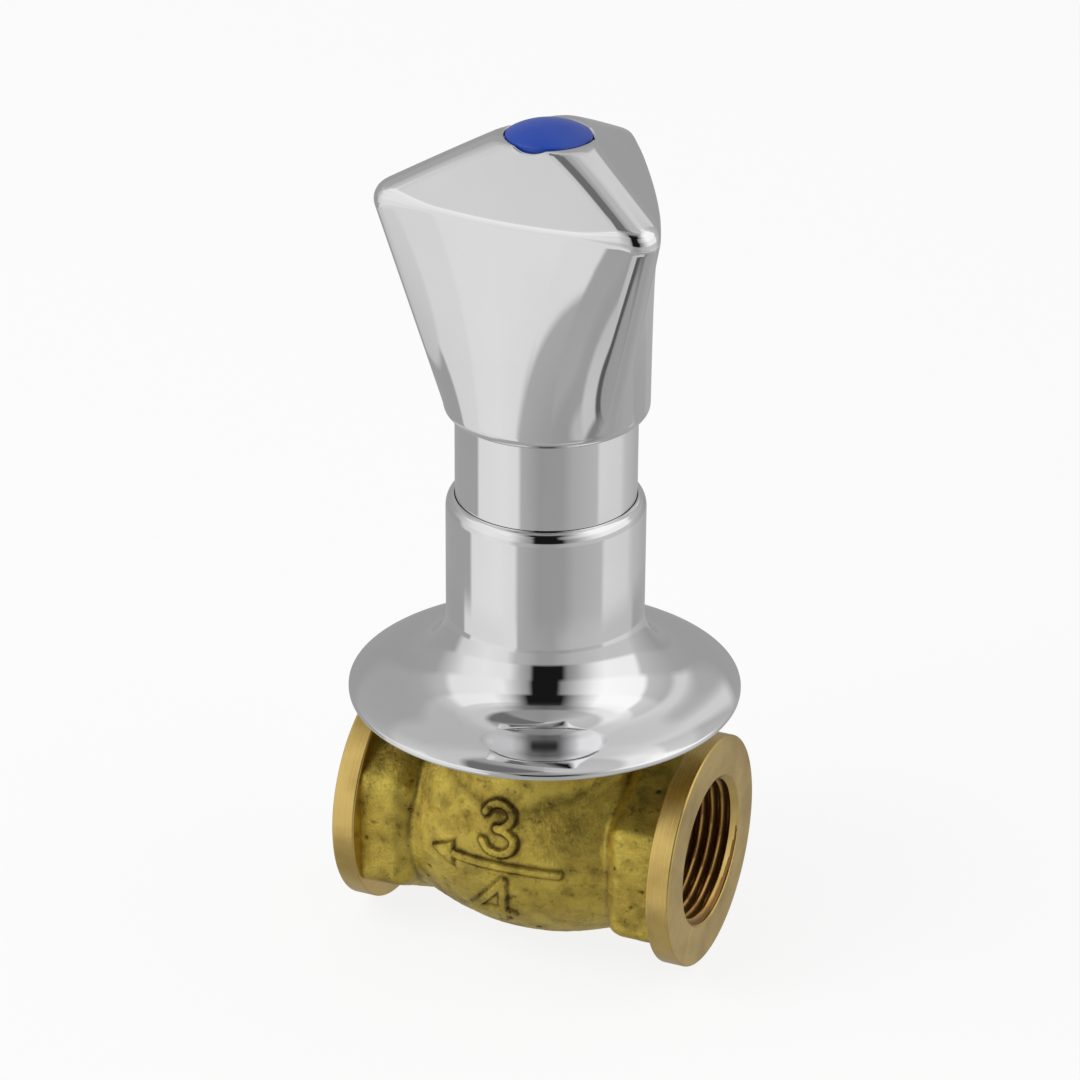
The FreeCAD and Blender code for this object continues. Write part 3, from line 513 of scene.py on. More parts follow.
def arc_points(centre: tuple[float, float], radius: float, start: float, end: float,
               steps: int) -> list[tuple[float, float, float]]:
    """Place unrounded outline corners along an arc.

    Args:
        centre: Radius and height of the arc's centre.
        radius: The arc's radius.
        start: Angle of its first point in degrees.
        end: Angle of its last point.
        steps: Count of spans.

    Returns:
        Corners with a rounding of 0.
    """
    turns = [math.radians(start + (end - start) * step / steps) for step in range(steps + 1)]
    return [(centre[0] + radius * math.cos(turn), centre[1] + radius * math.sin(turn), 0.0) for turn in turns]


class FormTree:
    """Geometry Nodes tree of a form wrapped round the Z axis; each subclass gives its inputs and profile."""

    NAME = ""
    INPUTS: dict[str, str] = {}
    END_ROWS = 0

    @classmethod
    def tree(cls) -> Tree:
        """Return the tree, built at its first use."""
        known = bpy.data.node_groups.get(cls.NAME)
        if known:
            return known
        tree = bpy.data.node_groups.new(cls.NAME, "GeometryNodeTree")
        for label, kind in cls.INPUTS.items():
            tree.interface.new_socket(label, in_out="INPUT", socket_type=f"NodeSocket{kind}")
        tree.interface.new_socket("Piece", in_out="OUTPUT", socket_type="NodeSocketGeometry")
        given = add_node(tree, "NodeGroupInput").outputs
        rows = add_node(tree, "FunctionNodeIntegerMath", {0: given["Rows"], 1: cls.END_ROWS}, operation="ADD")
        columns = add_node(tree, "FunctionNodeIntegerMath", {0: given["Segments"], 1: 1}, operation="ADD")
        grid = add_node(tree, "GeometryNodeMeshGrid", {"Vertices X": rows, "Vertices Y": columns})
        index = add_node(tree, "GeometryNodeInputIndex")
        row, column = (add_node(tree, "FunctionNodeIntegerMath", {0: index, 1: columns}, operation=operation)
                       for operation in ("DIVIDE_FLOOR", "MODULO"))
        share = add_node(tree, "ShaderNodeMath", {0: column, 1: given["Segments"]}, operation="DIVIDE")
        angle = add_node(tree, "ShaderNodeMath", {0: share, 1: math.tau}, operation="MULTIPLY")
        place = cls.profile(tree, given, row, share)
        turned = add_node(tree, "ShaderNodeVectorRotate", {"Vector": place, "Angle": angle},
                          rotation_type="Z_AXIS")
        shape = grid
        for step, values in (("SetPosition", {"Position": turned}),
                             ("MergeByDistance", {"Distance": WELD_DISTANCE}),
                             ("SetShadeSmooth", {}), ("RealizeInstances", {}),
                             ("SetMaterial", {"Material": given["Finish"]})):
            shape = add_node(tree, f"GeometryNode{step}", {"Geometry": shape, **values})
        add_node(tree, "NodeGroupOutput", {0: shape})
        return tree

    @classmethod
    def profile(cls, tree: Tree, given: dict[str, Socket], row: bpy.types.Node,
                share: bpy.types.Node) -> Socket | bpy.types.Node:
        """Place each point of the grid before it is turned about the axis.

        Args:
            tree: The tree.
            given: Output sockets of its inputs, by name.
            row: Node of the point's row.
            share: Node of its share of a whole turn.

        Returns:
            The point's place.
        """
        raise NotImplementedError


class TurningTree(FormTree):
    """Outline turned about the axis, with its rows counted to include one that closes it."""

    NAME = "turned_piece"
    INPUTS = {"Outline": "Geometry", "Rows": "Int", "Segments": "Int", "Finish": "Material"}

    @classmethod
    def profile(cls, tree: Tree, given: dict[str, Socket], row: bpy.types.Node,
                share: bpy.types.Node) -> Socket | bpy.types.Node:
        """Take each row's place from the outline."""
        size = add_node(tree, "GeometryNodeAttributeDomainSize", {"Geometry": given["Outline"]})
        number = add_node(tree, "FunctionNodeIntegerMath", {0: row, 1: size.outputs["Point Count"]},
                          operation="MODULO")
        sample = add_node(tree, "GeometryNodeSampleIndex", {"Geometry": given["Outline"], "Index": number},
                          data_type="FLOAT_VECTOR")
        tree.links.new(add_node(tree, "GeometryNodeInputPosition").outputs[0], sample.inputs["Value"])
        return sample.outputs["Value"]


class ThreadTree(FormTree):
    """Solid inside a right-hand pipe thread, with its sizes in metres and an extra row to close each end."""

    NAME = "thread_core"
    INPUTS = {"Base": "Geometry", "Crest Radius": "Float", "Depth": "Float", "Pitch": "Float",
              "Length": "Float", "Run Out": "Float", "Rows": "Int", "Segments": "Int", "Finish": "Material"}
    END_ROWS = 2

    @classmethod
    def profile(cls, tree: Tree, given: dict[str, Socket], row: bpy.types.Node,
                share: bpy.types.Node) -> Socket | bpy.types.Node:
        """Cut a groove that rises by one pitch a turn and starts shallow."""
        height = add_node(tree, "ShaderNodeMapRange", {
            "Value": row, "From Min": 1.0, "From Max": given["Rows"], "To Max": given["Length"]})
        rise = add_node(tree, "ShaderNodeMath", {0: height, 1: given["Pitch"]}, operation="DIVIDE")
        phase = add_node(tree, "ShaderNodeMath", {0: rise, 1: share}, operation="SUBTRACT")
        turn = add_node(tree, "ShaderNodeMath", {0: phase, 1: math.tau}, operation="MULTIPLY")
        wave = add_node(tree, "ShaderNodeMath", {0: turn}, operation="COSINE")
        groove = add_node(tree, "ShaderNodeMapRange", {
            "Value": wave, "From Min": -1.0, "To Max": given["Depth"]})
        ease = add_node(tree, "ShaderNodeMapRange", {"Value": height, "From Max": given["Run Out"]})
        cut = add_node(tree, "ShaderNodeMath", {0: groove, 1: ease}, operation="MULTIPLY")
        reach = add_node(tree, "ShaderNodeMath", {0: cut, 1: given["Crest Radius"]}, operation="ADD")
        after_first = add_node(tree, "ShaderNodeMath", {0: row, 1: 0.5}, operation="GREATER_THAN")
        last = add_node(tree, "ShaderNodeMath", {0: given["Rows"], 1: 0.5}, operation="ADD")
        before_last = add_node(tree, "ShaderNodeMath", {0: row, 1: last}, operation="LESS_THAN")
        open_row = add_node(tree, "ShaderNodeMath", {0: after_first, 1: before_last}, operation="MULTIPLY")
        radius = add_node(tree, "ShaderNodeMath", {0: reach, 1: open_row}, operation="MULTIPLY")
        return add_node(tree, "ShaderNodeCombineXYZ", {"X": radius, "Z": height})


def add_object(name: str, data: bpy.types.ID) -> bpy.types.Object:
    """Add an object to the scene.

    Args:
        name: Its name.
        data: Its mesh, lamp or camera.

    Returns:
        The object.
    """
    thing = bpy.data.objects.new(name, data)
    bpy.context.scene.collection.objects.link(thing)
    return thing


def formed_mesh(thing: bpy.types.Object) -> bpy.types.Mesh:
    """Copy the mesh that an object's modifiers form, under the object's own name."""
    depsgraph = bpy.context.evaluated_depsgraph_get()
    mesh = bpy.data.meshes.new_from_object(thing.evaluated_get(depsgraph), depsgraph=depsgraph)
    mesh.name = thing.name
    return mesh


def run_tree(name: str, tree: Tree, base: bpy.types.Mesh, values: dict) -> bpy.types.Mesh:
    """Shape a mesh with a geometry tree.

    Args:
        name: Name of the new mesh.
        tree: The tree.
        base: Mesh that goes in.
        values: Values of the tree's inputs, by name.

    Returns:
        The plain mesh that comes out, with its faces outwards.
    """
    holder = add_object(name, base)
    modifier = holder.modifiers.new("form", "NODES")
    modifier.node_group = tree
    for item in tree.interface.items_tree:
        if item.in_out == "INPUT" and item.name in values:
            modifier[item.identifier] = values[item.name]
    holder.update_tag()
    mesh = formed_mesh(holder)
    bpy.data.objects.remove(holder)
    turn_outwards(mesh)
    return mesh


def turned_mesh(name: str, outline: list[tuple[float, float]], segments: int,
                finish: Finish) -> bpy.types.Mesh:
    """Turn a closed outline about the Z axis.

    Args:
        name: Name of the mesh.
        outline: Radius and height of each point in millimetres.
        segments: Faces round the axis.
        finish: Its finish.

    Returns:
        The turned mesh.
    """
    base = bpy.data.meshes.new(f"{name}_outline")
    base.from_pydata([(radius * MM, 0, height * MM) for radius, height in outline], [], [])
    ends_on_axis = outline[0][0] == 0 and outline[-1][0] == 0
    rows = len(outline) if ends_on_axis else len(outline) + 1
    return run_tree(name, TurningTree.tree(), base,
                    {"Rows": rows, "Segments": segments, "Finish": finish.material()})


def combined(name: str, first: bpy.types.Mesh, steps: list[tuple[str, bpy.types.Mesh]]) -> bpy.types.Mesh:
    """Join and cut closed meshes.

    Args:
        name: Name of the new mesh.
        first: Mesh to start from.
        steps: Operation (UNION or DIFFERENCE) and mesh of each step, in order.

    Returns:
        The combined mesh.
    """
    target = add_object(name, first)
    tools = []
    for operation, mesh in steps:
        tools.append(add_object(mesh.name, mesh))
        modifier = target.modifiers.new("step", "BOOLEAN")
        modifier.operation = operation
        modifier.solver = "MANIFOLD"
        modifier.object = tools[-1]
    mesh = formed_mesh(target)
    for thing in [target, *tools]:
        bpy.data.objects.remove(thing)
    return mesh


def add_piece(name: str, mesh: bpy.types.Mesh, node: str, sharp_angle: float = 40.0) -> None:
    """Show a mesh in the place of a frame node.

    Args:
        name: Name of the piece.
        mesh: Its mesh, in place.
        node: Frame node that it stands for.
        sharp_angle: Edges that fold by more than this many degrees stay sharp.
    """
    mesh.shade_smooth()
    mesh.set_sharp_from_angle(angle=math.radians(sharp_angle))
    piece = add_object(name, mesh)
    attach(piece, frame["nodes"][node]["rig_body"])
    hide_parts(node)
    mesh.calc_loop_triangles()
    log.info("%s: %d triangles, for node %s", name, len(mesh.loop_triangles), node)


def along_pipe(mesh: bpy.types.Mesh, start_x: float, pipe_z: float, side: Side) -> bpy.types.Mesh:
    """Lay a mesh that was turned about Z along the pipe.

    Args:
        mesh: Turned mesh with its start at height 0.
        start_x: Distance of the start from the spindle's axis, in millimetres.
        pipe_z: Height of the pipe's axis.
        side: End of the body that it goes to.

    Returns:
        The same mesh, moved.
    """
    lay = Matrix.Rotation(math.radians(90), 4, "Y")
    push = Matrix.Translation((start_x * MM, 0, 0))
    turn = Matrix.Rotation(0 if side is Side.OUTLET else math.pi, 4, "Z")
    lift = Matrix.Translation((0, 0, pipe_z * MM))
    mesh.transform(lift @ turn @ push @ lay)
    return mesh


def rounded_union(a: np.ndarray, b: np.ndarray, radius: float) -> np.ndarray:
    """Join two forms with a hollow fillet.

    Args:
        a: Distances to the first form.
        b: Distances to the second form.
        radius: Radius of the fillet.

    Returns:
        Distances to the joined form.
    """
    corner = np.hypot(np.maximum(radius - a, 0), np.maximum(radius - b, 0))
    return np.maximum(radius, np.minimum(a, b)) - corner


def rounded_overlap(a: np.ndarray, b: np.ndarray, radius: float) -> np.ndarray:
    """Keep what two forms share, with its edge rounded.

    Args:
        a: Distances to the first form.
        b: Distances to the second form.
        radius: Radius of the rounding.

    Returns:
        Distances to the shared form.
    """
    corner = np.hypot(np.maximum(a + radius, 0), np.maximum(b + radius, 0))
    return np.minimum(-radius, np.maximum(a, b)) + corner


def spaced(stretches: list[tuple[float, float, float]]) -> np.ndarray:
    """List places along a line at the spacing that each stretch asks for.

    Args:
        stretches: Start, end and spacing of each stretch, end to end.

    Returns:
        The places, with the end of the last stretch.
    """
    places = []
    for start, end, spacing in stretches:
        count = max(1, round((end - start) / spacing))
        places.extend(start + (end - start) * np.arange(count) / count)
    return np.array([*places, stretches[-1][1]])


@dataclass
class SizeMarks:
    """Raised size marks on the front of the globe: a three over a flow arrow over a four.

    Places are in millimetres along the pipe and up the globe's skin from its front line.
    """

    height: float = 0.6
    stroke: float = 1.4
    edge: float = 0.4
    three: tuple = ((-3.1, 9.4), (-2.2, 10.6), (-0.5, 11.2), (1.3, 10.3), (1.7, 8.8), (0.5, 7.3), (-0.8, 6.9),
                    (1.1, 6.5), (2.5, 5.1), (1.9, 3.4), (0.1, 2.7), (-1.9, 3.1), (-3.1, 4.5))
    four: tuple = ((0.83, -2.6), (-5.3, -10.2), (1.6, -10.3))
    four_stem: tuple = ((0.83, -2.6), (-0.3, -12.8))
    arrow_shaft: tuple = ((-9.0, 0.35), (10.4, 0.3))
    arrow_tip: tuple = (-13.2, 0.4)
    arrow_head_back: float = -8.6
    arrow_head_half: float = 2.3

    def strokes(self) -> list[np.ndarray]:
        """List the centre lines of the drawn strokes, with the three smoothed."""
        three = np.array(self.three)
        turns = np.linspace(0, len(three) - 1, 60)
        index = np.clip(turns.astype(int), 0, len(three) - 2)
        part = (turns - index)[:, None]
        before = three[np.maximum(index - 1, 0)]
        after = three[np.minimum(index + 2, len(three) - 1)]
        start, end = three[index], three[index + 1]
        bend = (2 * before - 5 * start + 4 * end - after) * part ** 2
        twist = (3 * start - 3 * end + after - before) * part ** 3
        smooth = 0.5 * (2 * start + (end - before) * part + bend + twist)
        return [smooth, np.array(self.four), np.array(self.four_stem), np.array(self.arrow_shaft)]

    def distance(self, along: np.ndarray, up: np.ndarray) -> np.ndarray:
        """Measure the distance from each place to the nearest stroke's centre line.

        Args:
            along: Places along the pipe.
            up: Places up the skin.

        Returns:
            Distances in millimetres.
        """
        nearest = np.full(along.shape, FAR)
        for line in self.strokes():
            for start, end in zip(line[:-1], line[1:]):
                run = end - start
                share = ((along - start[0]) * run[0] + (up - start[1]) * run[1]) / (run @ run)
                share = np.clip(share, 0, 1)
                gap = np.hypot(along - start[0] - share * run[0], up - start[1] - share * run[1])
                nearest = np.minimum(nearest, gap)
        head = (along - self.arrow_tip[0]) / (self.arrow_head_back - self.arrow_tip[0])
        outside = np.abs(up - self.arrow_tip[1]) - self.arrow_head_half * head
        head_gap = np.maximum(outside, along - self.arrow_head_back) + self.stroke / 2
        return np.minimum(nearest, np.where(head > 0, head_gap, FAR))


@dataclass
class CastBody:
    """Brass body: the rough casting with its machined rings, pipe threads and water way."""

    low: np.ndarray = field(default_factory=lambda: node_box("valve_body")[0])
    high: np.ndarray = field(default_factory=lambda: node_box("valve_body")[1])
    marks: SizeMarks = field(default_factory=SizeMarks)
    globe_r: float = 19.6
    crown_r: float = 42.0
    globe_half_length: float = 20.0
    neck_across_flats: float = 34.0
    neck_corner_r: float = 1.2
    neck_start_x: float = 18.2
    neck_edge_r: float = 3.0
    boss_r: float = 17.0
    boss_edge_r: float = 0.8
    valley_r: float = 1.6
    ring_width: float = 4.1
    ring_edge_r: float = 0.35
    ring_segments: int = 224
    thread_r: float = 12.06
    thread_depth: float = 1.16
    thread_pitch: float = 1.814
    thread_length: float = 15.0
    thread_run_out: float = 1.2
    mouth_r: float = 13.3
    passage_r: float = 8.0
    passage_drop: float = 7.5
    outlet_r: float = 7.5
    outlet_rise: float = 8.0
    bridge_top: float = 3.5
    seat_r: float = 6.5
    seat_rim_r: float = 8.2
    seat_rim_height: float = 1.0
    chamber_r: float = 9.2
    headwork_r: float = 10.45
    headwork_depth: float = 9.0
    pit_count: int = 320
    pit_seed: int = 7
    pit_reach: float = 26.0
    pit_radii: tuple = (0.18, 0.5)
    pit_depths: tuple = (0.3, 0.7)
    mark_half_length: float = 14.0
    mark_half_turn: float = 0.7
    shallow: float = 0.25
    passage_segments: int = 48
    overshoot: float = 0.5
    tolerance: float = 0.02

    def __post_init__(self) -> None:
        """Work out the sizes that the frame gives."""
        self.half_length = float(self.high[0])
        self.pipe_z = float(self.high[1])
        self.ring_r = float(self.high[1])
        self.boss_top = float(self.high[2]) - self.pipe_z
        self.cast_end = self.half_length - self.ring_width / 2

    def globe_radius(self, along: np.ndarray) -> np.ndarray:
        """Find the globe's radius at places along the pipe."""
        return self.globe_r - self.crown_r + np.sqrt(np.maximum(self.crown_r ** 2 - along ** 2, 0))

    def forms(self, x: np.ndarray, y: np.ndarray, z: np.ndarray) -> tuple[np.ndarray, np.ndarray, np.ndarray]:
        """Measure the distance to the globe, the two necks and the boss.

        Args:
            x: Places along the pipe.
            y: Places across it.
            z: Heights above its axis.

        Returns:
            Distances to the three forms.
        """
        barrel = np.hypot(x, np.hypot(y, z) + self.crown_r - self.globe_r) - self.crown_r
        globe = rounded_overlap(barrel, np.abs(x) - self.globe_half_length, 0.5)
        flats = [np.abs(y * math.cos(turn) + z * math.sin(turn)) - self.neck_across_flats / 2
                 for turn in (0, math.pi / 3, -math.pi / 3)]
        two_flats = rounded_overlap(flats[0], flats[1], self.neck_corner_r)
        hexagon = rounded_overlap(two_flats, flats[2], self.neck_corner_r)
        neck = rounded_overlap(hexagon, self.neck_start_x - np.abs(x), self.neck_edge_r)
        wall = np.hypot(x, y) - self.boss_r
        boss = rounded_overlap(rounded_overlap(wall, z - self.boss_top, self.boss_edge_r), -z, 0.2)
        return globe, neck, boss

    def distance(self, x: np.ndarray, y: np.ndarray, z: np.ndarray) -> np.ndarray:
        """Measure the distance to the casting's smooth form.

        Args:
            x: Places along the pipe.
            y: Places across it.
            z: Heights above its axis.

        Returns:
            The distance from each place.
        """
        globe, neck, boss = self.forms(x, y, z)
        return rounded_union(rounded_union(globe, neck, self.valley_r), boss, self.valley_r)

    def normals(self, x: np.ndarray, y: np.ndarray, z: np.ndarray) -> np.ndarray:
        """Find the smooth form's outward direction.

        Args:
            x: Places along the pipe.
            y: Places across it.
            z: Heights above its axis.

        Returns:
            A unit direction for each place.
        """
        step = 0.01
        slopes = [self.distance(x + step, y, z) - self.distance(x - step, y, z),
                  self.distance(x, y + step, z) - self.distance(x, y - step, z),
                  self.distance(x, y, z + step) - self.distance(x, y, z - step)]
        direction = np.stack(slopes, axis=-1)
        return direction / np.linalg.norm(direction, axis=-1, keepdims=True)

    def pits(self) -> tuple[np.ndarray, np.ndarray, np.ndarray]:
        """Scatter casting pits over the skin.

        Returns:
            Places, radii and depths in millimetres.
        """
        chance = np.random.default_rng(self.pit_seed)
        along = chance.uniform(-self.pit_reach, self.pit_reach, self.pit_count)
        turn = chance.uniform(-math.pi, math.pi, self.pit_count)
        radius = chance.uniform(*self.pit_radii, self.pit_count)
        depth = radius * chance.uniform(*self.pit_depths, self.pit_count)
        depth[(np.abs(along) < self.mark_half_length) & (np.abs(turn) < self.mark_half_turn)] *= self.shallow
        reach = np.maximum(self.globe_radius(along), self.neck_across_flats / 2)
        return np.stack([along, -reach * np.cos(turn), reach * np.sin(turn)], axis=-1), radius, depth

    def relief(self, points: np.ndarray, turn: np.ndarray) -> tuple[np.ndarray, np.ndarray]:
        """Work out how far the rough skin stands from the smooth form, where it is stained, and where shade
        is painted into its pits, its creases and round the foot of its marks.

        Args:
            points: Points of the smooth form, from the pipe's axis.
            turn: Their angle round the pipe, 0 at the front.

        Returns:
            Offsets in millimetres, and stains with painted shade from 0 to 1.
        """
        waves, lumps, grit = (np.array([noise.noise(Vector(p / size + shift)) for p in points])
                              for size, shift in ((9.0, 0.0), (2.3, 40.0), (0.7, 90.0)))
        wave_height, lump_height, grit_height = 0.16, 0.07, 0.045
        offset = wave_height * waves + lump_height * lumps + grit_height * grit
        grime_and_shade = np.clip(-0.5 * lumps, 0, 0.25) + np.clip(0.7 * waves - 0.12, 0, 0.3)
        # Painted shade inside each pit, darker for deeper and narrower pits.
        pit_shade = 1.6
        for place, radius, depth in zip(*self.pits()):
            near = np.abs(points[:, 0] - place[0]) < 2 * radius
            gap = np.linalg.norm(points[near] - place, axis=-1) / radius
            offset[near] -= depth * smooth_step(1.4 - gap)
            grime_and_shade[near] += pit_shade * depth / radius * smooth_step(1.5 - gap)
        skin_up = self.globe_radius(points[:, 0]) * turn
        front_length, front_turn = 16, 1.1
        front = (np.abs(points[:, 0]) < front_length) & (np.abs(turn) < front_turn)
        gap = np.full(len(points), FAR)
        gap[front] = self.marks.distance(points[front, 0], skin_up[front])
        half = self.marks.stroke / 2
        raised = smooth_step((half + self.marks.edge / 2 - gap) / self.marks.edge)
        offset += self.marks.height * raised
        # Painted shade in a narrow band round the foot of each raised mark.
        mark_foot_shade, foot_gap, foot_width = 0.62, 0.2, 0.35
        grime_and_shade += mark_foot_shade * np.exp(-((gap - half - foot_gap) / foot_width) ** 2)
        # Painted shade in the creases where the globe, the necks and the boss meet.
        globe, neck, boss = self.forms(*points.T)
        low = np.sort(np.stack([globe, neck, boss]), axis=0)
        valley_shade, valley_width = 0.75, 0.7
        grime_and_shade += valley_shade * np.exp(-(np.maximum(low[1], 0) / valley_width) ** 2)
        return offset, np.clip(grime_and_shade, 0, 1)

    def casting(self) -> tuple[bpy.types.Mesh, np.ndarray, np.ndarray]:
        """Build the closed rough casting, without its openings.

        Returns:
            The mesh, and its points in millimetres with their stains and painted shade.
        """
        mark_start, mark_end, globe_end = -14.6, 13.6, 22
        mark_low, mark_high, side = -15.0 / self.globe_r, 17.0 / self.globe_r, 24.0 / self.globe_r
        x = spaced([(-self.cast_end, -globe_end, 0.6), (-globe_end, mark_start, 0.36),
                    (mark_start, mark_end, 0.22), (mark_end, globe_end, 0.36),
                    (globe_end, self.cast_end, 0.6)])
        turn = spaced([(-math.pi, -side, 0.031), (-side, mark_low, 0.018), (mark_low, mark_high, 0.0112),
                       (mark_high, side, 0.018), (side, math.pi, 0.031)])[:-1]
        along, round_pipe = np.meshgrid(x, turn, indexing="ij")
        across, up = -np.cos(round_pipe), np.sin(round_pipe)
        inner, outer = np.full(along.shape, 8.0), np.full(along.shape, 32.0)
        halvings = 22
        for _ in range(halvings):
            middle = (inner + outer) / 2
            inside = self.distance(along, middle * across, middle * up) < 0
            inner = np.where(inside, middle, inner)
            outer = np.where(inside, outer, middle)
        points = np.stack([along, inner * across, inner * up], axis=-1).reshape(-1, 3)
        offset, grime_and_shade = self.relief(points, round_pipe.ravel())
        points = points + self.normals(*points.T) * offset[:, None]
        rows, columns = along.shape
        faces = wrapped_faces(rows, columns, False).tolist()
        faces.append(list(range(columns))[::-1])
        faces.append(list(range((rows - 1) * columns, rows * columns)))
        points[:, 2] += self.pipe_z
        mesh = bpy.data.meshes.new("casting")
        mesh.from_pydata((points * MM).tolist(), [], faces)
        turn_outwards(mesh)
        return mesh, points, grime_and_shade

    def ring(self, side: Side) -> bpy.types.Mesh:
        """Build the machined end ring of one side."""
        outline = rounded_outline([(0, 0, 0), (self.ring_r, 0, self.ring_edge_r),
                                   (self.ring_r, self.ring_width, self.ring_edge_r), (0, self.ring_width, 0)])
        mesh = turned_mesh("ring", outline, self.ring_segments, TurnedBrass())
        return along_pipe(mesh, self.half_length - self.ring_width, self.pipe_z, side)

    def bore(self, side: Side) -> list[bpy.types.Mesh]:
        """Build the thread's core and its chamfered mouth, which are cut out of one end."""
        beyond = self.overshoot
        segments = 128
        lengths = {"Crest Radius": self.thread_r, "Depth": self.thread_depth, "Pitch": self.thread_pitch,
                   "Length": self.thread_length + beyond, "Run Out": self.thread_run_out}
        core = run_tree("thread_core", ThreadTree.tree(), bpy.data.meshes.new("bare"), {
            **{name: length * MM for name, length in lengths.items()},
            "Rows": 88, "Segments": segments, "Finish": TurnedBrass().material()})
        along_pipe(core, self.half_length - self.thread_length, self.pipe_z, side)
        chamfer = self.mouth_r - self.thread_r
        outline = [(0, -chamfer), (self.thread_r, -chamfer), (self.mouth_r, 0),
                   (self.mouth_r + beyond, beyond), (0, beyond)]
        mouth = turned_mesh("thread_mouth", outline, segments, TurnedBrass())
        return [core, along_pipe(mouth, self.half_length, self.pipe_z, side)]

    def water_way(self) -> list[tuple[str, bpy.types.Mesh]]:
        """Build the passages between the bores, the seat and the headwork's thread.

        Returns:
            Steps that cut them out of the body.
        """
        finish = CastBrass()
        bore_bottom = self.half_length - self.thread_length + 0.2
        inlet_z = self.pipe_z - self.passage_drop
        tools = []
        for name, radius, height, side in (
                ("inlet_passage", self.passage_r, inlet_z, Side.INLET),
                ("outlet_passage", self.outlet_r, self.pipe_z + self.outlet_rise, Side.OUTLET)):
            outline = [(0, 0), (radius, 0), (radius, bore_bottom), (0, bore_bottom)]
            passage = turned_mesh(name, outline, self.passage_segments, finish)
            tools.append(along_pipe(passage, 0, height, side))
        arc = [(radius, height) for radius, height, _ in arc_points((0, 0), self.passage_r, -80, 80, 16)]
        inlet_end = [(0, -self.passage_r), *arc, (0, self.passage_r)]
        bulb = turned_mesh("inlet_end", inlet_end, self.passage_segments, finish)
        bulb.transform(Matrix.Translation((0, 0, inlet_z * MM)))
        bridge = self.pipe_z + self.bridge_top
        rim_top = bridge + self.seat_rim_height
        thread_bottom = float(self.high[2]) - self.headwork_depth
        above = float(self.high[2]) + 1
        chamber = [(self.seat_r, inlet_z), (self.seat_r, rim_top), (self.seat_rim_r, rim_top),
                   (self.seat_rim_r, bridge), (self.chamber_r, bridge), (self.chamber_r, thread_bottom),
                   (self.headwork_r, thread_bottom), (self.headwork_r, above), (0, above), (0, inlet_z)]
        well = turned_mesh("seat_well", chamber, 2 * self.passage_segments, finish)
        return [("DIFFERENCE", tool) for tool in (tools[0], bulb, tools[1], well)]

    def dress(self, mesh: bpy.types.Mesh, points: np.ndarray, grime_and_shade: np.ndarray) -> None:
        """Give each face its finish by its place, and the cast skin its stains and painted shade.

        Args:
            mesh: The finished body.
            points: Points of the rough casting.
            grime_and_shade: Their stains and painted shade.
        """
        mesh.materials.clear()
        finishes = [CastBrass(), TurnedBrass(name="turned_ring", axis=Axis.PIPE, axis_height_mm=self.pipe_z),
                    OiledShadedThread(axis_height_mm=self.pipe_z)]
        for finish in finishes:
            mesh.materials.append(finish.material())
        count = len(mesh.polygons)
        centres = np.zeros(count * 3)
        mesh.polygons.foreach_get("center", centres)
        centres = centres.reshape(-1, 3) / MM
        reach = np.hypot(centres[:, 1], centres[:, 2] - self.pipe_z)
        away = np.abs(centres[:, 0])
        ring_start = self.half_length - self.ring_width
        number = np.zeros(count, dtype=np.int32)
        number[(away > ring_start - self.tolerance / 2) & (reach > self.thread_r)] = 1
        number[centres[:, 2] > self.high[2] - self.tolerance] = 1
        in_bore = reach < self.thread_r + self.thread_depth + self.tolerance
        in_bore &= away > self.half_length - self.thread_length
        on_mouth = np.abs(reach - self.mouth_r + self.half_length - away) < 1.5 * self.tolerance
        number[in_bore & ~on_mouth & (away < self.half_length - 2.5 * self.tolerance)] = 2
        mesh.polygons.foreach_set("material_index", number)
        places = np.zeros(len(mesh.vertices) * 3)
        mesh.vertices.foreach_get("co", places)
        # Each point keeps its stains and painted shade from the casting. Points made by the cuts get a fixed
        # share of stain.
        known = {tuple(np.round(point, 3)): value for point, value in zip(points, grime_and_shade)}
        cut_grime = 0.3
        stains = [known.get(tuple(np.round(place, 3)), cut_grime) for place in places.reshape(-1, 3) / MM]
        layer = mesh.attributes.new("grime_and_shade", "FLOAT", "POINT")
        layer.data.foreach_set("value", np.array(stains, dtype=np.float32))

    def build(self) -> None:
        """Join the casting and its rings, cut its openings and show it."""
        casting, points, grime_and_shade = self.casting()
        steps = [("UNION", self.ring(side)) for side in Side]
        steps += [("DIFFERENCE", core) for side in Side for core in self.bore(side)]
        mesh = combined("cast_body", casting, steps + self.water_way())
        self.dress(mesh, points, grime_and_shade)
        add_piece("cast_body", mesh, "valve_body", 35.0)


@dataclass
class Sleeve:
    """Chromed tube between the body and the knob."""

    high: np.ndarray = field(default_factory=lambda: node_box("sleeve")[1])
    low: np.ndarray = field(default_factory=lambda: node_box("sleeve")[0])
    wall: float = 1.0
    edge_r: float = 0.25
    segments: int = 192

    def build(self) -> None:
        """Turn the tube and show it."""
        outer = float(self.high[0])
        bottom, top = float(self.low[2]), float(self.high[2])
        outline = rounded_outline([(outer - self.wall, bottom, 0), (outer, bottom, self.edge_r),
                                   (outer, top, self.edge_r), (outer - self.wall, top, 0)])
        mesh = turned_mesh("chrome_sleeve", outline, self.segments, ChromePlate())
        add_piece("chrome_sleeve", mesh, "sleeve")


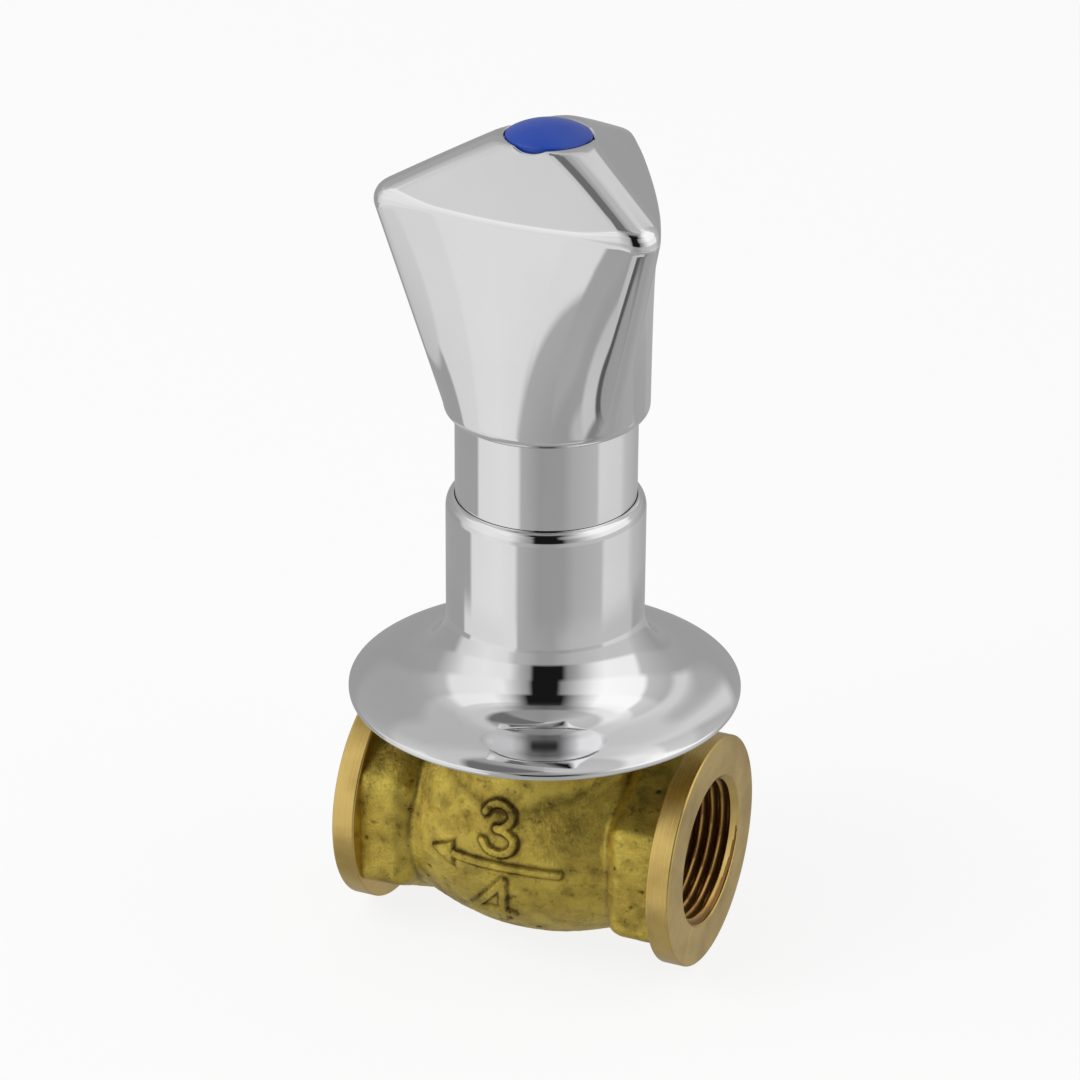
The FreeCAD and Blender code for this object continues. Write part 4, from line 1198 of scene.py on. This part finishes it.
@dataclass
class WallFlange:
    """Spun bell flange: rim, hollow flare, neck and a lip turned in to the sleeve."""

    high: np.ndarray = field(default_factory=lambda: node_box("wall_flange")[1])
    rim_z: float = 46.4
    neck_r: float = 16.72
    wall: float = 1.1
    flare_r: float = 12.0
    slope: float = 20.0
    shoulder_z: float = 79.4
    bore_r: float = 15.3
    ring_z: float = 75.0
    ring_half: float = 0.5
    ring_r: float = 16.18
    bore_drop: float = 1.35
    neck_inner_drop: float = 1.8
    rim_edge_r: float = 0.4
    skirt_bulge: float = 0.4
    segments: int = 224

    def skirt(self, start_r: float) -> list[tuple[float, float, float]]:
        """Place the skirt's outer points, which bulge most towards the rim.

        Args:
            start_r: Radius at which the skirt leaves the flare.

        Returns:
            Corners with a rounding of 0, from the flare to the rim.
        """
        rim_r = float(self.high[0])
        points = []
        for share in np.linspace(0, 1, 21)[1:-1]:
            radius = start_r + (rim_r - start_r) * share
            bulge = self.skirt_bulge * share ** 2 * (1 - share) / (4 / 27)
            height = self.rim_z + (rim_r - radius) * math.tan(math.radians(self.slope)) + bulge
            points.append((radius, height, 0.0))
        return points

    def face(self, inset: float, steps: int) -> list[tuple[float, float, float]]:
        """Place the flare from the neck down to the skirt.

        Args:
            inset: Distance of the inner face from the outer one.
            steps: Count of spans.

        Returns:
            Corners with a rounding of 0.
        """
        rim_r = float(self.high[0])
        lean = math.radians(self.slope)
        centre_r = self.neck_r + self.flare_r
        run = rim_r - (centre_r - self.flare_r * math.sin(lean))
        centre_z = self.rim_z + run * math.tan(lean) + self.flare_r * math.cos(lean)
        return arc_points((centre_r, centre_z), self.flare_r + inset, 180, 270 - self.slope, steps)

    def build(self) -> None:
        """Turn the bell and show it."""
        rim_r = float(self.high[0])
        top = float(self.high[2])
        lip_r, lip_height = self.neck_r - self.bore_r, top - self.shoulder_z
        lip = [(self.bore_r + lip_r * across, self.shoulder_z + lip_height * up, 0.0)
               for across, up, _ in arc_points((0, 0), 1, 0, 90, 15)]
        drop = self.wall / math.cos(math.radians(self.slope))
        outer = self.face(0, 40)
        inner = self.face(self.wall, 24)
        groove_top, groove_bottom = self.ring_z + self.ring_half, self.ring_z - self.ring_half
        corners = [*lip, (self.bore_r, groove_top, 0), (self.ring_r, groove_top, 0),
                   (self.ring_r, groove_bottom, 0), (self.bore_r, groove_bottom, 0),
                   (self.bore_r, self.ring_z - self.bore_drop, 0),
                   (self.neck_r - self.wall, self.ring_z - self.neck_inner_drop, 0), *inner,
                   (rim_r, self.rim_z - drop, self.rim_edge_r), (rim_r, self.rim_z, self.rim_edge_r),
                   *self.skirt(outer[-1][0])[::-1], *outer[::-1]]
        mesh = turned_mesh("bell_flange", rounded_outline(corners), self.segments, ChromePlate())
        add_piece("bell_flange", mesh, "wall_flange")


def filleted(corner: np.ndarray, first: np.ndarray, second: np.ndarray, radius: np.ndarray,
             steps: int) -> np.ndarray:
    """Round the corner between two directions, one corner for each column.

    Args:
        corner: Corners as radius and height.
        first: Unit directions from each corner to where the arc starts.
        second: Unit directions to where it ends.
        radius: Radius of each arc.
        steps: Spans of the arc.

    Returns:
        Rows of arc points.
    """
    half = np.arccos(np.clip((first * second).sum(axis=1), -1, 1)) / 2
    reach = (radius / np.tan(half))[:, None]
    start, end = corner + first * reach, corner + second * reach
    middle = first + second
    middle /= np.linalg.norm(middle, axis=1, keepdims=True)
    centre = corner + middle * (radius / np.sin(half))[:, None]
    sweep = math.pi - 2 * half
    rows = []
    for step in range(steps + 1):
        share = step / steps
        weight_start = (np.sin((1 - share) * sweep) / np.sin(sweep))[:, None]
        weight_end = (np.sin(share * sweep) / np.sin(sweep))[:, None]
        rows.append(centre + (start - centre) * weight_start + (end - centre) * weight_end)
    return np.stack(rows)


@dataclass
class Knob:
    """Die-cast knob: a round base that opens into three bowed sides and three corners, under a crown."""

    low: np.ndarray = field(default_factory=lambda: node_box("knob")[0])
    base_r: float = 17.08
    base_z: float = 98.6
    tip_r: float = 28.4
    tip_z: float = 135.3
    bottom_r: float = 15.7
    skirt_bore_r: float = 15.45
    skirt_depth: float = 5.0
    corner_angle: float = -32.5
    corner_r: float = 6.4
    corner_tightening: float = 0.25
    inner_corner_r: float = 1.2
    wall: float = 3.0
    apex_z: float = 151.3
    crown_slope: float = 0.92
    ridge_r: float = 6.2
    ridge_extra_r: float = 1.8
    ridge_ease: float = 6.0
    top_z: float = 144.8
    top_share: float = 0.8
    top_ease: float = 4.0
    rim_r: float = 1.2
    tip_rim_r: float = 3.2
    hub_r: float = 8.6
    hub_bottom_z: float = 108.5
    insert_r: float = 6.4
    insert_top_z: float = 128.0
    screw_hole_r: float = 2.8
    screw_seat_z: float = 133.0
    stem_room_r: float = 5.75
    button_r: float = 7.15
    button_seat_z: float = 142.6
    button_edge_r: float = 0.4
    probe: float = 0.8
    tip_half_turn: float = 24.0

    def __post_init__(self) -> None:
        """Work out the direction of each column of the mesh, closer together at the corners."""
        sector = spaced([(-60, -24, 1.0), (-24, -14, 0.6), (-14, 14, 0.3), (14, 24, 0.6), (24, 60, 1.0)])[:-1]
        from_corner = np.concatenate([sector] * 3)
        sectors = np.repeat([0, 120, 240], len(sector))
        self.turn = np.radians(self.corner_angle + sectors + from_corner)
        self.aside = np.radians(np.abs(from_corner))
        self.columns = len(self.turn)
        self.flare = (self.tip_r - self.base_r) / (self.tip_z - self.base_z)

    def wall_radius(self, height: np.ndarray, inset: float = 0.0) -> np.ndarray:
        """Find the wall's radius in each column.

        Args:
            height: Height in each column.
            inset: Distance of the inner face from the outer one.

        Returns:
            The radii.
        """
        side = self.base_r - inset
        growth = self.flare * (height - self.base_z)
        reach = side + growth
        corner_r = self.inner_corner_r if inset else self.corner_r - self.corner_tightening * growth
        centre = reach - corner_r
        room = np.maximum(2 * side - reach - corner_r, 0.05)
        side_r = (centre ** 2 + side ** 2 - side * centre - corner_r ** 2) / room
        back = side_r - side
        tangent = np.arctan2(back * math.sin(math.pi / 3), centre + back / 2)
        limit = np.arctan2(corner_r * np.sin(tangent), centre + corner_r * np.cos(tangent))
        under = np.maximum(corner_r ** 2 - (centre * np.sin(self.aside)) ** 2, 0)
        on_corner = centre * np.cos(self.aside) + np.sqrt(under)
        from_side = math.pi / 3 - self.aside
        on_side = np.sqrt(side_r ** 2 - (back * np.sin(from_side)) ** 2) - back * np.cos(from_side)
        return np.where(self.aside < limit, on_corner, on_side)

    def ridge_rounding(self, radius: np.ndarray) -> np.ndarray:
        """Find the ridges' rounding at each radius, which eases off outwards from the button."""
        return self.ridge_r + self.ridge_extra_r * np.exp((self.button_r - radius) / self.ridge_ease)

    def crown_height(self, radius: np.ndarray, apex_z: float, ridge_r: np.ndarray | float) -> np.ndarray:
        """Find the crown's height in each column.

        Args:
            radius: Distance from the axis in each column.
            apex_z: Height at which the three facets would meet.
            ridge_r: Rounding of the ridges.

        Returns:
            The heights.
        """
        along = radius * np.cos(self.aside)
        across = radius * np.sin(self.aside)
        fall = self.crown_slope * math.sin(math.pi / 3)
        lean = math.atan(fall)
        on_ridge = ridge_r / math.cos(lean) - np.sqrt(np.maximum(ridge_r ** 2 - across ** 2, 0))
        drop = np.where(across < ridge_r * math.sin(lean), on_ridge, fall * across)
        return apex_z - self.crown_slope / 2 * along - drop

    def meeting(self, apex_z: float, ridge_r: np.ndarray | float, inset: float) -> np.ndarray:
        """Find where the wall meets the crown in each column.

        Args:
            apex_z: Height at which the crown's facets would meet.
            ridge_r: Rounding of its ridges.
            inset: Distance of the wall's face from the outer one.

        Returns:
            Radius and height in each column.
        """
        height = np.full(self.columns, self.tip_z)
        tries = 40
        for _ in range(tries):
            radius = self.wall_radius(height, inset)
            height = self.crown_height(radius, apex_z, ridge_r)
        return np.stack([radius, height], axis=1)

    def direction(self, start: np.ndarray, end: np.ndarray) -> np.ndarray:
        """Find the directions from one row of points to another.

        Args:
            start: Radius and height of each point to start from.
            end: Radius and height of each point to go to.

        Returns:
            A unit direction in each column.
        """
        run = end - start
        return run / np.linalg.norm(run, axis=1, keepdims=True)

    def level(self, radius: float, height: float) -> np.ndarray:
        """Make a row of points at one place.

        Args:
            radius: Their radius.
            height: Their height.

        Returns:
            Radius and height in each column.
        """
        return np.tile([radius, height], (self.columns, 1)).astype(float)

    def on_crown(self, radius: np.ndarray) -> np.ndarray:
        """Place a row on the outer crown, with the ridges cut down round the button.

        Args:
            radius: Radius in each column.

        Returns:
            Radius and height in each column.
        """
        height = self.crown_height(radius, self.apex_z, self.ridge_rounding(radius))
        level = self.top_share * smooth_step(1 - (radius - self.button_r) / self.top_ease)
        return np.stack([radius, height - level * np.maximum(height - self.top_z, 0)], axis=1)

    def outside(self) -> list[np.ndarray]:
        """Make the rows from the button's hole over the crown and the rim, down to the base."""
        rim = self.meeting(self.apex_z, self.ridge_r, 0)
        inward = self.direction(rim, self.on_crown(rim[:, 0] - self.probe))
        lower = rim[:, 1] - self.probe
        downward = self.direction(rim, np.stack([self.wall_radius(lower), lower], axis=1))
        blend = smooth_step(1 - self.aside / math.radians(self.tip_half_turn))
        rim_arc = filleted(rim, inward, downward, self.rim_r + (self.tip_rim_r - self.rim_r) * blend, 9)
        hole_radius = np.full(self.columns, self.button_r)
        hole = self.on_crown(hole_radius)
        outward = self.direction(hole, self.on_crown(hole_radius + 0.5))
        down = np.tile([0.0, -1.0], (self.columns, 1))
        hole_arc = filleted(hole, down, outward, np.full(self.columns, self.button_edge_r), 5)
        rows = list(hole_arc)
        start, end = hole_arc[-1], rim_arc[0]
        miss = end[:, 1] - self.on_crown(end[:, 0])[:, 1]
        for share in [0.02, *np.linspace(0.06, 0.94, 30), 0.98]:
            radius = start[:, 0] + (end[:, 0] - start[:, 0]) * share
            row = self.on_crown(radius)
            row[:, 1] += miss * share ** 3
            rows.append(row)
        rows.extend(rim_arc)
        top = rim_arc[-1]
        side_miss = top[:, 0] - self.wall_radius(top[:, 1])
        for share in [0.01, *np.linspace(0.03, 0.99, 44)]:
            height = top[:, 1] + (self.base_z - top[:, 1]) * share
            radius = self.wall_radius(height) + side_miss * (1 - share) ** 6
            rows.append(np.stack([radius, height], axis=1))
        return rows

    def base(self) -> list[np.ndarray]:
        """Make the rows round the lower edge and up the skirt's bore."""
        bottom_z = float(self.low[2])
        rows = []
        for turn in np.linspace(0, math.pi / 2, 9):
            rows.append(self.level(self.bottom_r + (self.base_r - self.bottom_r) * math.cos(turn),
                                   self.base_z - (self.base_z - bottom_z) * math.sin(turn)))
        rows.append(self.level(self.skirt_bore_r, bottom_z + 0.1))
        rows.append(self.level(self.skirt_bore_r, bottom_z + self.skirt_depth))
        return rows

    def inside(self) -> list[np.ndarray]:
        """Make the rows of the hollow, the hub and the bores, back to the button's hole."""
        bottom_z = float(self.low[2])
        roof_apex = self.apex_z - self.wall * math.sqrt(1 + self.crown_slope ** 2)
        valley_r = 0.5
        roof = self.meeting(roof_apex, valley_r, self.wall)
        start_z = bottom_z + self.skirt_depth
        rows = []
        for share in np.linspace(0, 1, 9):
            height = start_z + (roof[:, 1] - start_z) * share
            rows.append(np.stack([self.wall_radius(height, self.wall), height], axis=1))
        for share in np.linspace(0, 1, 7)[1:]:
            radius = roof[:, 0] + (self.hub_r - roof[:, 0]) * share
            rows.append(np.stack([radius, self.crown_height(radius, roof_apex, valley_r)], axis=1))
        steps = [(self.hub_r, self.hub_bottom_z), (self.insert_r, self.hub_bottom_z),
                 (self.insert_r, self.insert_top_z), (self.screw_hole_r, self.insert_top_z),
                 (self.screw_hole_r, self.screw_seat_z), (self.stem_room_r, self.screw_seat_z),
                 (self.stem_room_r, self.button_seat_z), (self.button_r, self.button_seat_z)]
        return rows + [self.level(radius, height) for radius, height in steps]

    def build(self) -> None:
        """Build the knob as one closed mesh and show it."""
        rows = np.stack(self.outside() + self.base() + self.inside())
        radius, height = rows[:, :, 0], rows[:, :, 1]
        points = np.stack([radius * np.cos(self.turn), radius * np.sin(self.turn), height], axis=-1)
        faces = wrapped_faces(len(rows), self.columns, True)
        mesh = new_mesh("chrome_knob", points.reshape(-1, 3), faces)
        mesh.materials.append(ChromePlate().material())
        add_piece("chrome_knob", mesh, "knob", 60.0)


@dataclass
class IndexButton:
    """Domed plastic button with a split stem."""

    low: np.ndarray = field(default_factory=lambda: node_box("index_button")[0])
    high: np.ndarray = field(default_factory=lambda: node_box("index_button")[1])
    seat_z: float = 142.6
    edge_height: float = 2.4
    dome_rise: float = 0.4
    edge_r: float = 0.45
    stem_r: float = 5.6
    stem_wall: float = 0.9
    slot_width: float = 1.2
    slot_height: float = 4.0
    slot_angle: float = -32.5
    segments: int = 128

    def build(self) -> None:
        """Turn the button, split its stem and show it."""
        cap_r = float(self.high[0])
        top = float(self.high[2]) + self.dome_rise
        edge_z = self.seat_z + self.edge_height
        dome_height = top - edge_z
        dome_r = (cap_r ** 2 + dome_height ** 2) / (2 * dome_height)
        radii = [cap_r * (1 - step / 20) for step in range(1, 20)]
        dome = [(radius, top - dome_r + math.sqrt(dome_r ** 2 - radius ** 2), 0.0) for radius in radii]
        stem_bottom = float(self.low[2])
        corners = [(0, self.seat_z, 0), (self.stem_r - self.stem_wall, self.seat_z, 0),
                   (self.stem_r - self.stem_wall, stem_bottom, 0), (self.stem_r, stem_bottom, 0.2),
                   (self.stem_r, self.seat_z, 0), (cap_r, self.seat_z, 0.2), (cap_r, edge_z, self.edge_r),
                   *dome, (0, top, 0)]
        mesh = turned_mesh("blue_button", rounded_outline(corners, support=0.05), self.segments, BLUE_PLASTIC)
        half = np.array([2 * self.stem_r, self.slot_width / 2, self.slot_height / 2])
        signs = np.array([(x, y, z) for x in (-1, 1) for y in (-1, 1) for z in (-1, 1)])
        box_faces = np.array([(0, 1, 3, 2), (4, 6, 7, 5), (0, 4, 5, 1),
                              (2, 3, 7, 6), (0, 2, 6, 4), (1, 5, 7, 3)])
        lift = Matrix.Translation((0, 0, (stem_bottom + self.slot_height / 2 - 0.01) * MM))
        slots = []
        for turn in (self.slot_angle, self.slot_angle + 90):
            slot = new_mesh("slot", signs * half, box_faces)
            slot.transform(lift @ Matrix.Rotation(math.radians(turn), 4, "Z"))
            slots.append(("DIFFERENCE", slot))
        button = combined("blue_button", mesh, slots)
        button.materials.clear()
        button.materials.append(BLUE_PLASTIC.material())
        add_piece("blue_button", button, "index_button")


@dataclass
class InnerPieces:
    """Pieces inside the valve, which keep the frame's meshes."""

    finishes: dict = field(default_factory=lambda: {
        TurnedBrass(): ("headwork", "sleeve_nut", "spindle", "spindle_extension", "plunger"),
        WHITE_PLASTIC: ("thrust_washer", "knob_insert"),
        BLACK_RUBBER: ("flange_o_ring", "spindle_o_ring_lower", "spindle_o_ring_upper", "seat_washer"),
        FIBRE: ("headwork_gasket",),
        ZincSteel(): ("circlip", "extension_grub_screw", "seat_washer_plate", "seat_washer_screw",
                      "knob_screw", "knob_screw_washer")})

    def build(self) -> None:
        """Give each piece its finish."""
        for finish, nodes in self.finishes.items():
            for node in nodes:
                mesh = frame["nodes"][node].data
                mesh.materials.clear()
                mesh.materials.append(finish.material())
                log.info("%s: keeps its mesh, finished in %s", node, finish.name)


@dataclass(frozen=True)
class TentBelt:
    """One belt of the light tent, from its lower edge up, with the height over which it blends in there.

    Its lights are pairs of a bearing, 0 towards the camera and 90 on the right, and a level,
    1 for white. All angles are in degrees.
    """

    start: float
    blend: float
    lights: tuple

    def ramp(self, tree: Tree, share: Socket) -> Socket:
        """Add the belt's light as a ramp.

        Args:
            tree: The world's node tree.
            share: Output socket of the bearing, with -180 as 0 and 180 as 1.

        Returns:
            Output socket of the light.
        """
        node = add_node(tree, "ShaderNodeValToRGB", {"Fac": share})
        stops = node.color_ramp.elements
        while len(stops) > 1:
            stops.remove(stops[-1])
        for index, (bearing, light) in enumerate(self.lights):
            place = bearing / 360 + 0.5
            stop = stops[0] if index == 0 else stops.new(place)
            stop.position = place
            stop.color = (light, light, light, 1)
        return node.outputs["Color"]


@dataclass
class Studio:
    """White floor, a light tent, one soft box and the camera."""

    position_mm: tuple = (242.565, -575.785, 380.776)
    azimuth: float = 22.933
    elevation: float = 26.238
    roll: float = 0.390
    focal_pixels: float = 4173.63
    floor_m: float = 6.0
    floor_glow: float = 0.86
    key_direction: tuple = (-138.0, 52.0)
    key_distance: float = 1.3
    key_size: float = 0.9
    key_watts: float = 7.0
    belts: tuple = (
        TentBelt(-90, 1, ((-180, 0.43), (-30, 0.42), (0, 0.38), (60, 0.40), (110, 0.42), (180, 0.42))),
        TentBelt(-52.4, 0.6, ((-180, 0.42), (-44, 0.42), (-28, 0.10), (44, 0.12), (60, 0.30), (72, 0.42),
            (180, 0.42))),
        TentBelt(-50.2, 0.8, ((-180, 0.43), (-44, 0.44), (-24, 0.58), (20, 0.68), (44, 0.66), (52, 0.28),
            (60, 0.26), (72, 0.40), (180, 0.42))),
        TentBelt(-44.5, 1.5, ((-180, 0.40), (-120, 0.50), (-60, 0.46), (-40, 0.40), (14, 0.41), (24, 0.56),
            (44, 0.60), (50, 0.34), (60, 0.28), (76, 0.40), (110, 0.43), (180, 0.42))),
        TentBelt(-40, 3, ((-180, 0.46), (-155, 0.48), (-138, 0.60), (-66, 0.78), (-56, 0.48), (-44, 0.43),
            (-6, 0.46), (3, 0.40), (26, 0.38), (60, 0.42), (114, 0.45), (180, 0.45))),
        TentBelt(-33.3, 0.8, ((-180, 0.38), (-109, 0.40), (-106, 0.80), (-34, 0.86), (-31, 0.48),
            (-6, 0.42), (8, 0.40), (18, 0.48), (30, 0.56), (66, 0.62), (116, 0.60), (124, 0.42),
            (180, 0.42))),
        TentBelt(-26.4, 0.5, ((-180, 0.40), (-97, 0.42), (-93, 0.86), (-54, 0.90), (-36, 0.86), (-31, 0.50),
            (-8, 0.37), (20, 0.38), (34, 0.48), (66, 0.56), (71, 0.80), (106, 0.76), (118, 0.60),
            (150, 0.46), (180, 0.42))),
        TentBelt(-21, 2, ((-180, 0.38), (-112, 0.40), (-103, 0.74), (-66, 0.92), (-42, 0.86), (-32, 0.56),
            (-18, 0.48), (-6, 0.38), (8, 0.38), (30, 0.54), (66, 0.66), (104, 0.66), (116, 0.54),
            (150, 0.36), (180, 0.40))),
        TentBelt(-2, 4, ((-180, 0.38), (-126, 0.42), (-106, 0.66), (-90, 0.90), (-66, 0.98), (-38, 0.92),
            (-26, 0.5), (-16, 0.34), (-12, 0.01), (18, 0.01), (24, 0.28), (34, 0.44), (54, 0.92),
            (66, 1.08), (104, 1.05), (111, 0.62), (126, 0.54), (150, 0.42), (180, 0.38))),
        TentBelt(22, 6, ((-180, 0.42), (-140, 0.46), (-114, 0.60), (-106, 0.92), (-46, 1.02), (-30, 0.60),
            (-18, 0.34), (-13, 0.01), (13, 0.01), (18, 0.28), (42, 0.80), (54, 1.08), (66, 1.20),
            (112, 1.14), (118, 0.64), (140, 0.52), (147, 0.76), (154, 0.76), (160, 0.48), (180, 0.42))),
        TentBelt(44, 4, ((-180, 0.55), (-140, 0.56), (-120, 0.68), (-108, 1.00), (-60, 1.06), (-42, 0.76),
            (-30, 0.34), (-20, 0.01), (20, 0.01), (30, 0.26), (54, 0.92), (66, 1.22), (114, 1.20),
            (120, 0.76), (140, 0.66), (148, 0.78), (156, 0.70), (180, 0.60))),
        TentBelt(56, 2, ((-180, 0.55), (-140, 0.60), (-104, 0.76), (-60, 0.84), (-42, 0.60), (-30, 0.30),
            (-20, 0.02), (20, 0.02), (30, 0.26), (54, 0.80), (66, 1.15), (114, 1.15), (126, 0.95),
            (148, 0.78), (180, 0.60))),
        TentBelt(61, 4, ((-180, 0.64), (-120, 0.68), (-78, 0.70), (-60, 0.62), (-45, 0.42), (-30, 0.22),
            (0, 0.14), (30, 0.20), (54, 0.56), (78, 0.94), (126, 1.00), (150, 0.72), (180, 0.64))),
        TentBelt(68, 3, ((-180, 0.50), (-135, 0.40), (-120, 0.18), (-76, 0.18), (-60, 0.36), (0, 0.33),
            (45, 0.42), (90, 0.66), (180, 0.56))))

    def camera(self) -> None:
        """Place the camera at the photograph's angle."""
        a, e, roll = (math.radians(angle) for angle in (self.azimuth, self.elevation, self.roll))
        back = Vector((math.sin(a) * math.cos(e), -math.cos(a) * math.cos(e), math.sin(e)))
        right = Vector((math.cos(a), math.sin(a), 0))
        above = back.cross(right)
        x_axis = math.cos(roll) * right + math.sin(roll) * above
        y_axis = math.cos(roll) * above - math.sin(roll) * right
        data = bpy.data.cameras.new("camera")
        data.sensor_width = SENSOR_MM
        data.lens = self.focal_pixels * SENSOR_MM / PHOTO_PIXELS
        data.clip_start = 0.05
        camera = add_object("camera", data)
        turn = Matrix((x_axis, y_axis, back)).transposed()
        camera.matrix_world = Matrix.Translation(Vector(self.position_mm) * MM) @ turn.to_4x4()
        bpy.context.scene.camera = camera

    def floor(self) -> None:
        """Lay the pale floor, which shows white and keeps the shadow."""
        half = self.floor_m / 2
        corners = [(-half, -half, 0), (half, -half, 0), (half, half, 0), (-half, half, 0)]
        mesh = bpy.data.meshes.new("floor")
        mesh.from_pydata(corners, [], [(0, 1, 2, 3)])
        floor = add_object("floor", mesh)
        material = bpy.data.materials.new("white_table")
        material.use_nodes = True
        tree = material.node_tree
        tree.nodes.clear()
        matt = add_node(tree, "ShaderNodeBsdfDiffuse", {"Color": linear("#EDEDED")})
        white = add_node(tree, "ShaderNodeEmission", {"Color": (1, 1, 1, 1), "Strength": 1.0})
        rays = add_node(tree, "ShaderNodeLightPath")
        share = add_node(tree, "ShaderNodeMath", {0: rays.outputs["Is Camera Ray"], 1: self.floor_glow},
                         operation="MULTIPLY")
        both = add_node(tree, "ShaderNodeMixShader", {0: share, 1: matt, 2: white})
        add_node(tree, "ShaderNodeOutputMaterial", {"Surface": both})
        mesh.materials.append(material)
        floor.visible_glossy = False

    def tent(self) -> None:
        """Light the scene with a tent that is bright on both sides and dark towards the camera."""
        world = bpy.data.worlds.new("tent")
        bpy.context.scene.world = world
        world.use_nodes = True
        tree = world.node_tree
        tree.nodes.clear()
        sky = add_node(tree, "ShaderNodeTexCoord")
        turned = add_node(tree, "ShaderNodeVectorRotate",
                          {"Vector": sky.outputs["Generated"], "Angle": math.radians(90 - self.azimuth)},
                          rotation_type="Z_AXIS")
        parts = add_node(tree, "ShaderNodeSeparateXYZ", {0: turned}).outputs
        bearing = add_node(tree, "ShaderNodeMath", {0: parts["Y"], 1: parts["X"]}, operation="ARCTAN2")
        share = add_node(tree, "ShaderNodeMapRange", {
            "Value": bearing, "From Min": -math.pi, "From Max": math.pi}).outputs["Result"]
        light = self.belts[0].ramp(tree, share)
        for belt in self.belts[1:]:
            above = add_node(tree, "ShaderNodeMapRange", {
                "Value": parts["Z"], "From Min": math.sin(math.radians(belt.start - belt.blend / 2)),
                "From Max": math.sin(math.radians(belt.start + belt.blend / 2))})
            light = add_node(tree, "ShaderNodeMix", {0: above, 6: light, 7: belt.ramp(tree, share)},
                             data_type="RGBA").outputs[2]
        rays = add_node(tree, "ShaderNodeLightPath")
        seen = add_node(tree, "ShaderNodeMix", {0: rays.outputs["Is Camera Ray"], 6: light, 7: (1, 1, 1, 1)},
                        data_type="RGBA")
        shine = add_node(tree, "ShaderNodeBackground", {"Color": seen.outputs[2], "Strength": 1.0})
        add_node(tree, "ShaderNodeOutputWorld", {"Surface": shine})

    def key(self) -> None:
        """Hang one large soft box on the left, above the front."""
        bearing, lift = (math.radians(angle) for angle in self.key_direction)
        reach = math.cos(lift)
        place = Vector((reach * math.cos(bearing), reach * math.sin(bearing), math.sin(lift)))
        data = bpy.data.lights.new("soft_box", "AREA")
        data.shape = "SQUARE"
        data.size = self.key_size
        data.energy = self.key_watts
        lamp = add_object("soft_box", data)
        lamp.visible_glossy = False
        lamp.matrix_world = (Matrix.Translation(place * self.key_distance)
                             @ place.to_track_quat("Z", "Y").to_matrix().to_4x4())

    def build(self) -> None:
        """Set up the whole studio."""
        bpy.context.scene.view_settings.view_transform = "Standard"
        self.camera()
        self.floor()
        self.tent()
        self.key()


def main() -> None:
    """Build the valve's pieces in order, then the studio."""
    logging.basicConfig(level=logging.INFO, format="%(name)s %(message)s")
    for part in (CastBody(), Sleeve(), WallFlange(), Knob(), IndexButton(), InnerPieces(), Studio()):
        part.build()
        log.info("%s is in place", type(part).__name__)


if __name__ == "__main__":
    main()
